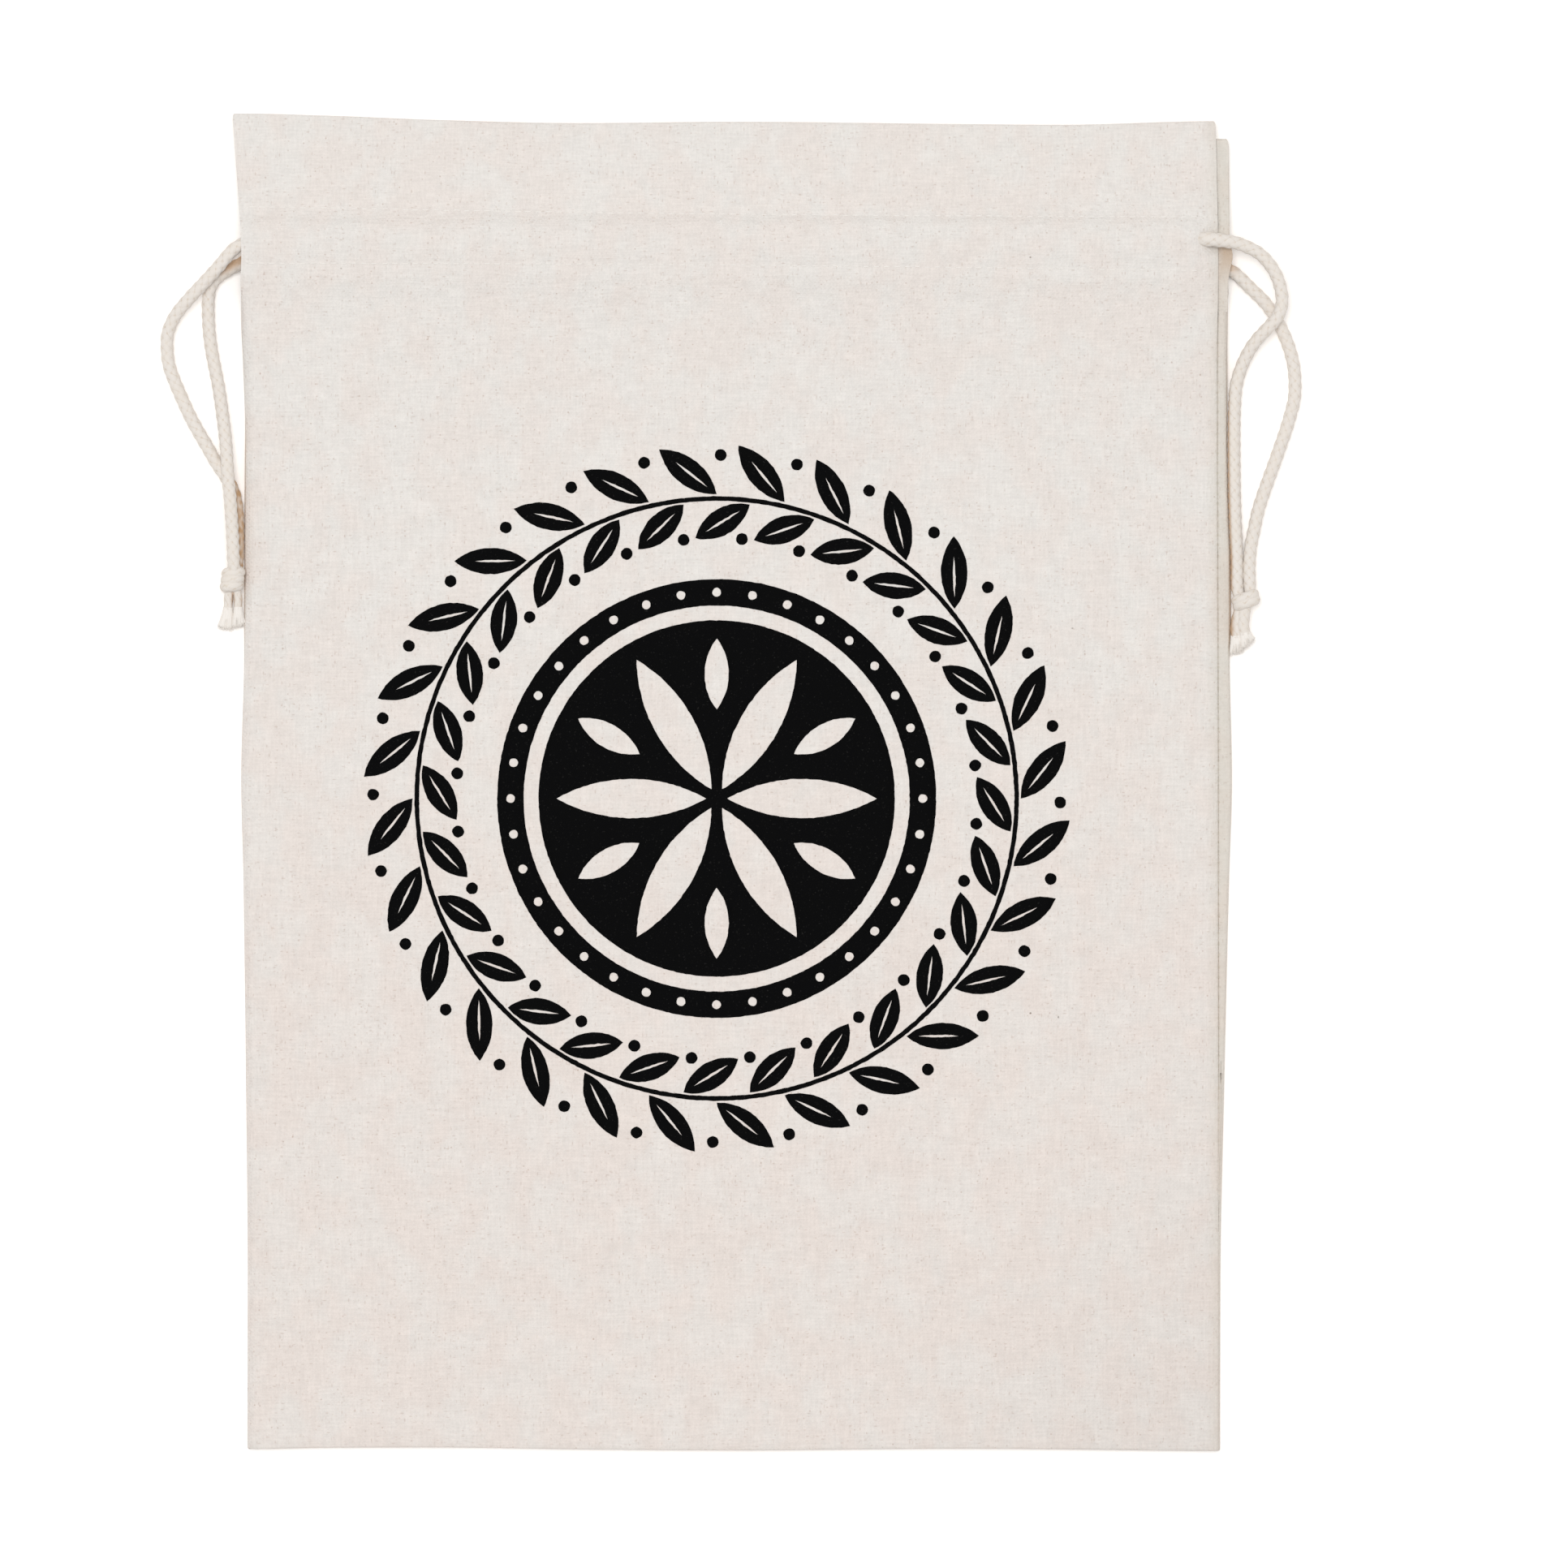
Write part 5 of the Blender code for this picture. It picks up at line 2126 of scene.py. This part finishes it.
@dataclass(frozen=True)
class Studio:
    """The camera straight above the bag, a white floor, a large lamp above it and a bright sky."""

    centre_x: float = 15.7
    centre_y: float = -0.5
    span: float = 475.3
    surface: float = 2.3
    lens: float = 200.0
    sensor: float = 36.0
    floor_size: float = 6.0
    floor_height: float = -0.05
    sky: float = 0.62
    key_power: float = 48.0
    key_size: float = 1.6
    key_place: Place = (-0.2, 0.4, 3.0)

    def camera(self) -> Object:
        """Place the camera at the photograph's angle.

        Returns:
            The camera.
        """
        data = bpy.data.cameras.new("camera")
        data.lens = self.lens
        data.sensor_width = self.sensor
        data.clip_end = 100.0
        distance = self.span * self.lens / self.sensor + self.surface
        thing = linked("camera", data)
        thing.location = Vector((self.centre_x, self.centre_y, distance)) * MM
        bpy.context.scene.camera = thing
        return thing

    def floor(self, finish: Material) -> Object:
        """Lay the floor under the bag.

        Args:
            finish: The floor's material.

        Returns:
            The floor.
        """
        mesh = bmesh.new()
        matrix = Matrix.Translation(Vector((0.0, 0.0, self.floor_height)) * MM)
        bmesh.ops.create_grid(mesh, x_segments=4, y_segments=4, size=0.5 * self.floor_size, matrix=matrix)
        thing = object_from("floor", mesh, finish)
        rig.stage(thing)
        return thing

    def light(self) -> None:
        """Light the bag from above, a little from the upper left, and from all round."""
        world = bpy.data.worlds.new("studio")
        world.use_nodes = True
        background = world.node_tree.nodes["Background"]
        background.inputs["Color"].default_value = (1.0, 1.0, 1.0, 1.0)
        background.inputs["Strength"].default_value = self.sky
        bpy.context.scene.world = world
        lamp = bpy.data.lights.new("key", "AREA")
        lamp.shape = "DISK"
        lamp.size = self.key_size
        lamp.energy = self.key_power
        thing = linked("key", lamp)
        thing.location = self.key_place
        thing.rotation_euler = (-thing.location).to_track_quat("-Z", "Y").to_euler()
        bpy.context.scene.view_settings.view_transform = "Standard"


CLOTH = ClothFinish(
    name="linen_weave", pink=(0.770, 0.696, 0.648, 1.0), green=(0.769, 0.736, 0.699, 1.0),
    seam=(0.50, 0.45, 0.34, 1.0), fleck=(0.42, 0.30, 0.24, 1.0), seed=(0.11, 0.075, 0.05, 1.0),
    shade=(0.44, 0.27, 0.14, 1.0),
    layers=(
        FleckLayer(cell_x=2.6, cell_y=1.0, bare=0.45, size=0.30, strength=0.34),
        FleckLayer(cell_x=1.0, cell_y=2.8, bare=0.50, size=0.30, strength=0.34),
        FleckLayer(cell_x=1.7, cell_y=1.7, bare=0.60, size=0.22, strength=0.50),
        FleckLayer(cell_x=4.6, cell_y=5.4, bare=0.80, size=0.085, strength=0.75),
        FleckLayer(cell_x=13.0, cell_y=11.0, bare=0.90, size=0.036, strength=1.0, dark=True),
        FleckLayer(cell_x=9.0, cell_y=14.0, bare=0.93, size=0.045, strength=0.8, dark=True),
    ),
)
CORD = CordFinish(
    name="cotton_braid", crown=(0.755, 0.706, 0.655, 1.0), groove_shade=(0.60, 0.50, 0.40, 1.0),
    warm=(0.755, 0.69, 0.615, 1.0), loose=(0.84, 0.795, 0.745, 1.0), shade=(0.46, 0.27, 0.13, 1.0),
)
INK = PrintFinish(name="black_ink", ink=(0.0028, 0.0028, 0.003, 1.0), thin=(0.02, 0.019, 0.018, 1.0))
THREAD = PlainFinish(name="sewing_thread", colour=(0.81, 0.775, 0.735, 1.0))
FLOOR = PlainFinish(name="studio_floor", colour=(0.95, 0.92, 0.89, 1.0), grain=3.0, spread=0.0, glow=0.14)


def main() -> None:
    """Build the studio, the cords and the bag, and report each piece."""
    logging.basicConfig(level=logging.INFO, format="%(name)s: %(message)s")
    low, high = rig.bounds()
    solids_box = [list(low), list(high)]
    studio = Studio()
    studio.camera()
    studio.light()
    studio.floor(FLOOR.make())
    cotton = CORD.make()
    shape = BagShape()
    knots = {}
    for knot in KNOTS:
        tied = fitted(knot.build(cotton, shape), Slot.COTTON, knot.node)
        knots[knot.name] = [tied, fitted(knot.fray(cotton), Slot.COTTON)]
        LOG.info("%s: %d points", knot.name, len(tied.data.vertices))
    for strand in STRANDS:
        thing, path = strand.build(cotton, shape)
        length = sum((b - a).length for a, b in zip(path, path[1:]))
        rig.cord(
            thing,
            exit=tuple(path[0] * MM),
            length=length * MM,
            diameter=0.0042,
            far_end="knot",
            stiffness="limp",
            lay="loose",
            with_pieces=knots[strand.knot],
            path=[tuple(point * MM) for point in path],
        )
        LOG.info("%s: %.1f mm long", strand.name, length)
    for run in RUNS:
        thing = run.build(cotton)
        LOG.info("%s: %d points", run.name, len(thing.data.vertices))
    linen = CLOTH.make()
    cloths = [panel.build(linen) for panel in PANELS]
    thread = THREAD.make()
    sewn = {
        "front_cloth": Stitching("front_stitches", FRONT_STITCHES, shape.front_top).build(thread),
        "back_cloth": Stitching("back_stitches", BACK_STITCHES, lambda x, y: UNDERSIDE).build(thread),
    }
    ink = RoundPrint(shape).build(INK.make())
    sewn_with = {"front_cloth": [sewn["front_cloth"], ink], "back_cloth": [sewn["back_cloth"]]}
    rests = {"front_cloth": ["back_cloth"], "back_cloth": ["floor"]}
    for cloth, length in zip(cloths, (0.452, 0.458)):
        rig.sheet(
            cloth,
            flat=(0.304, length),
            held="laid",
            rests_on=rests[cloth.name],
            with_pieces=sewn_with[cloth.name],
        )
        LOG.info("%s: %d points", cloth.name, len(cloth.data.vertices))
    low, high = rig.bounds()
    with open("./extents.json", "w") as file:
        json.dump({"solids": solids_box, "looks": [list(low), list(high)]}, file)


if __name__ == "__main__":
    main()
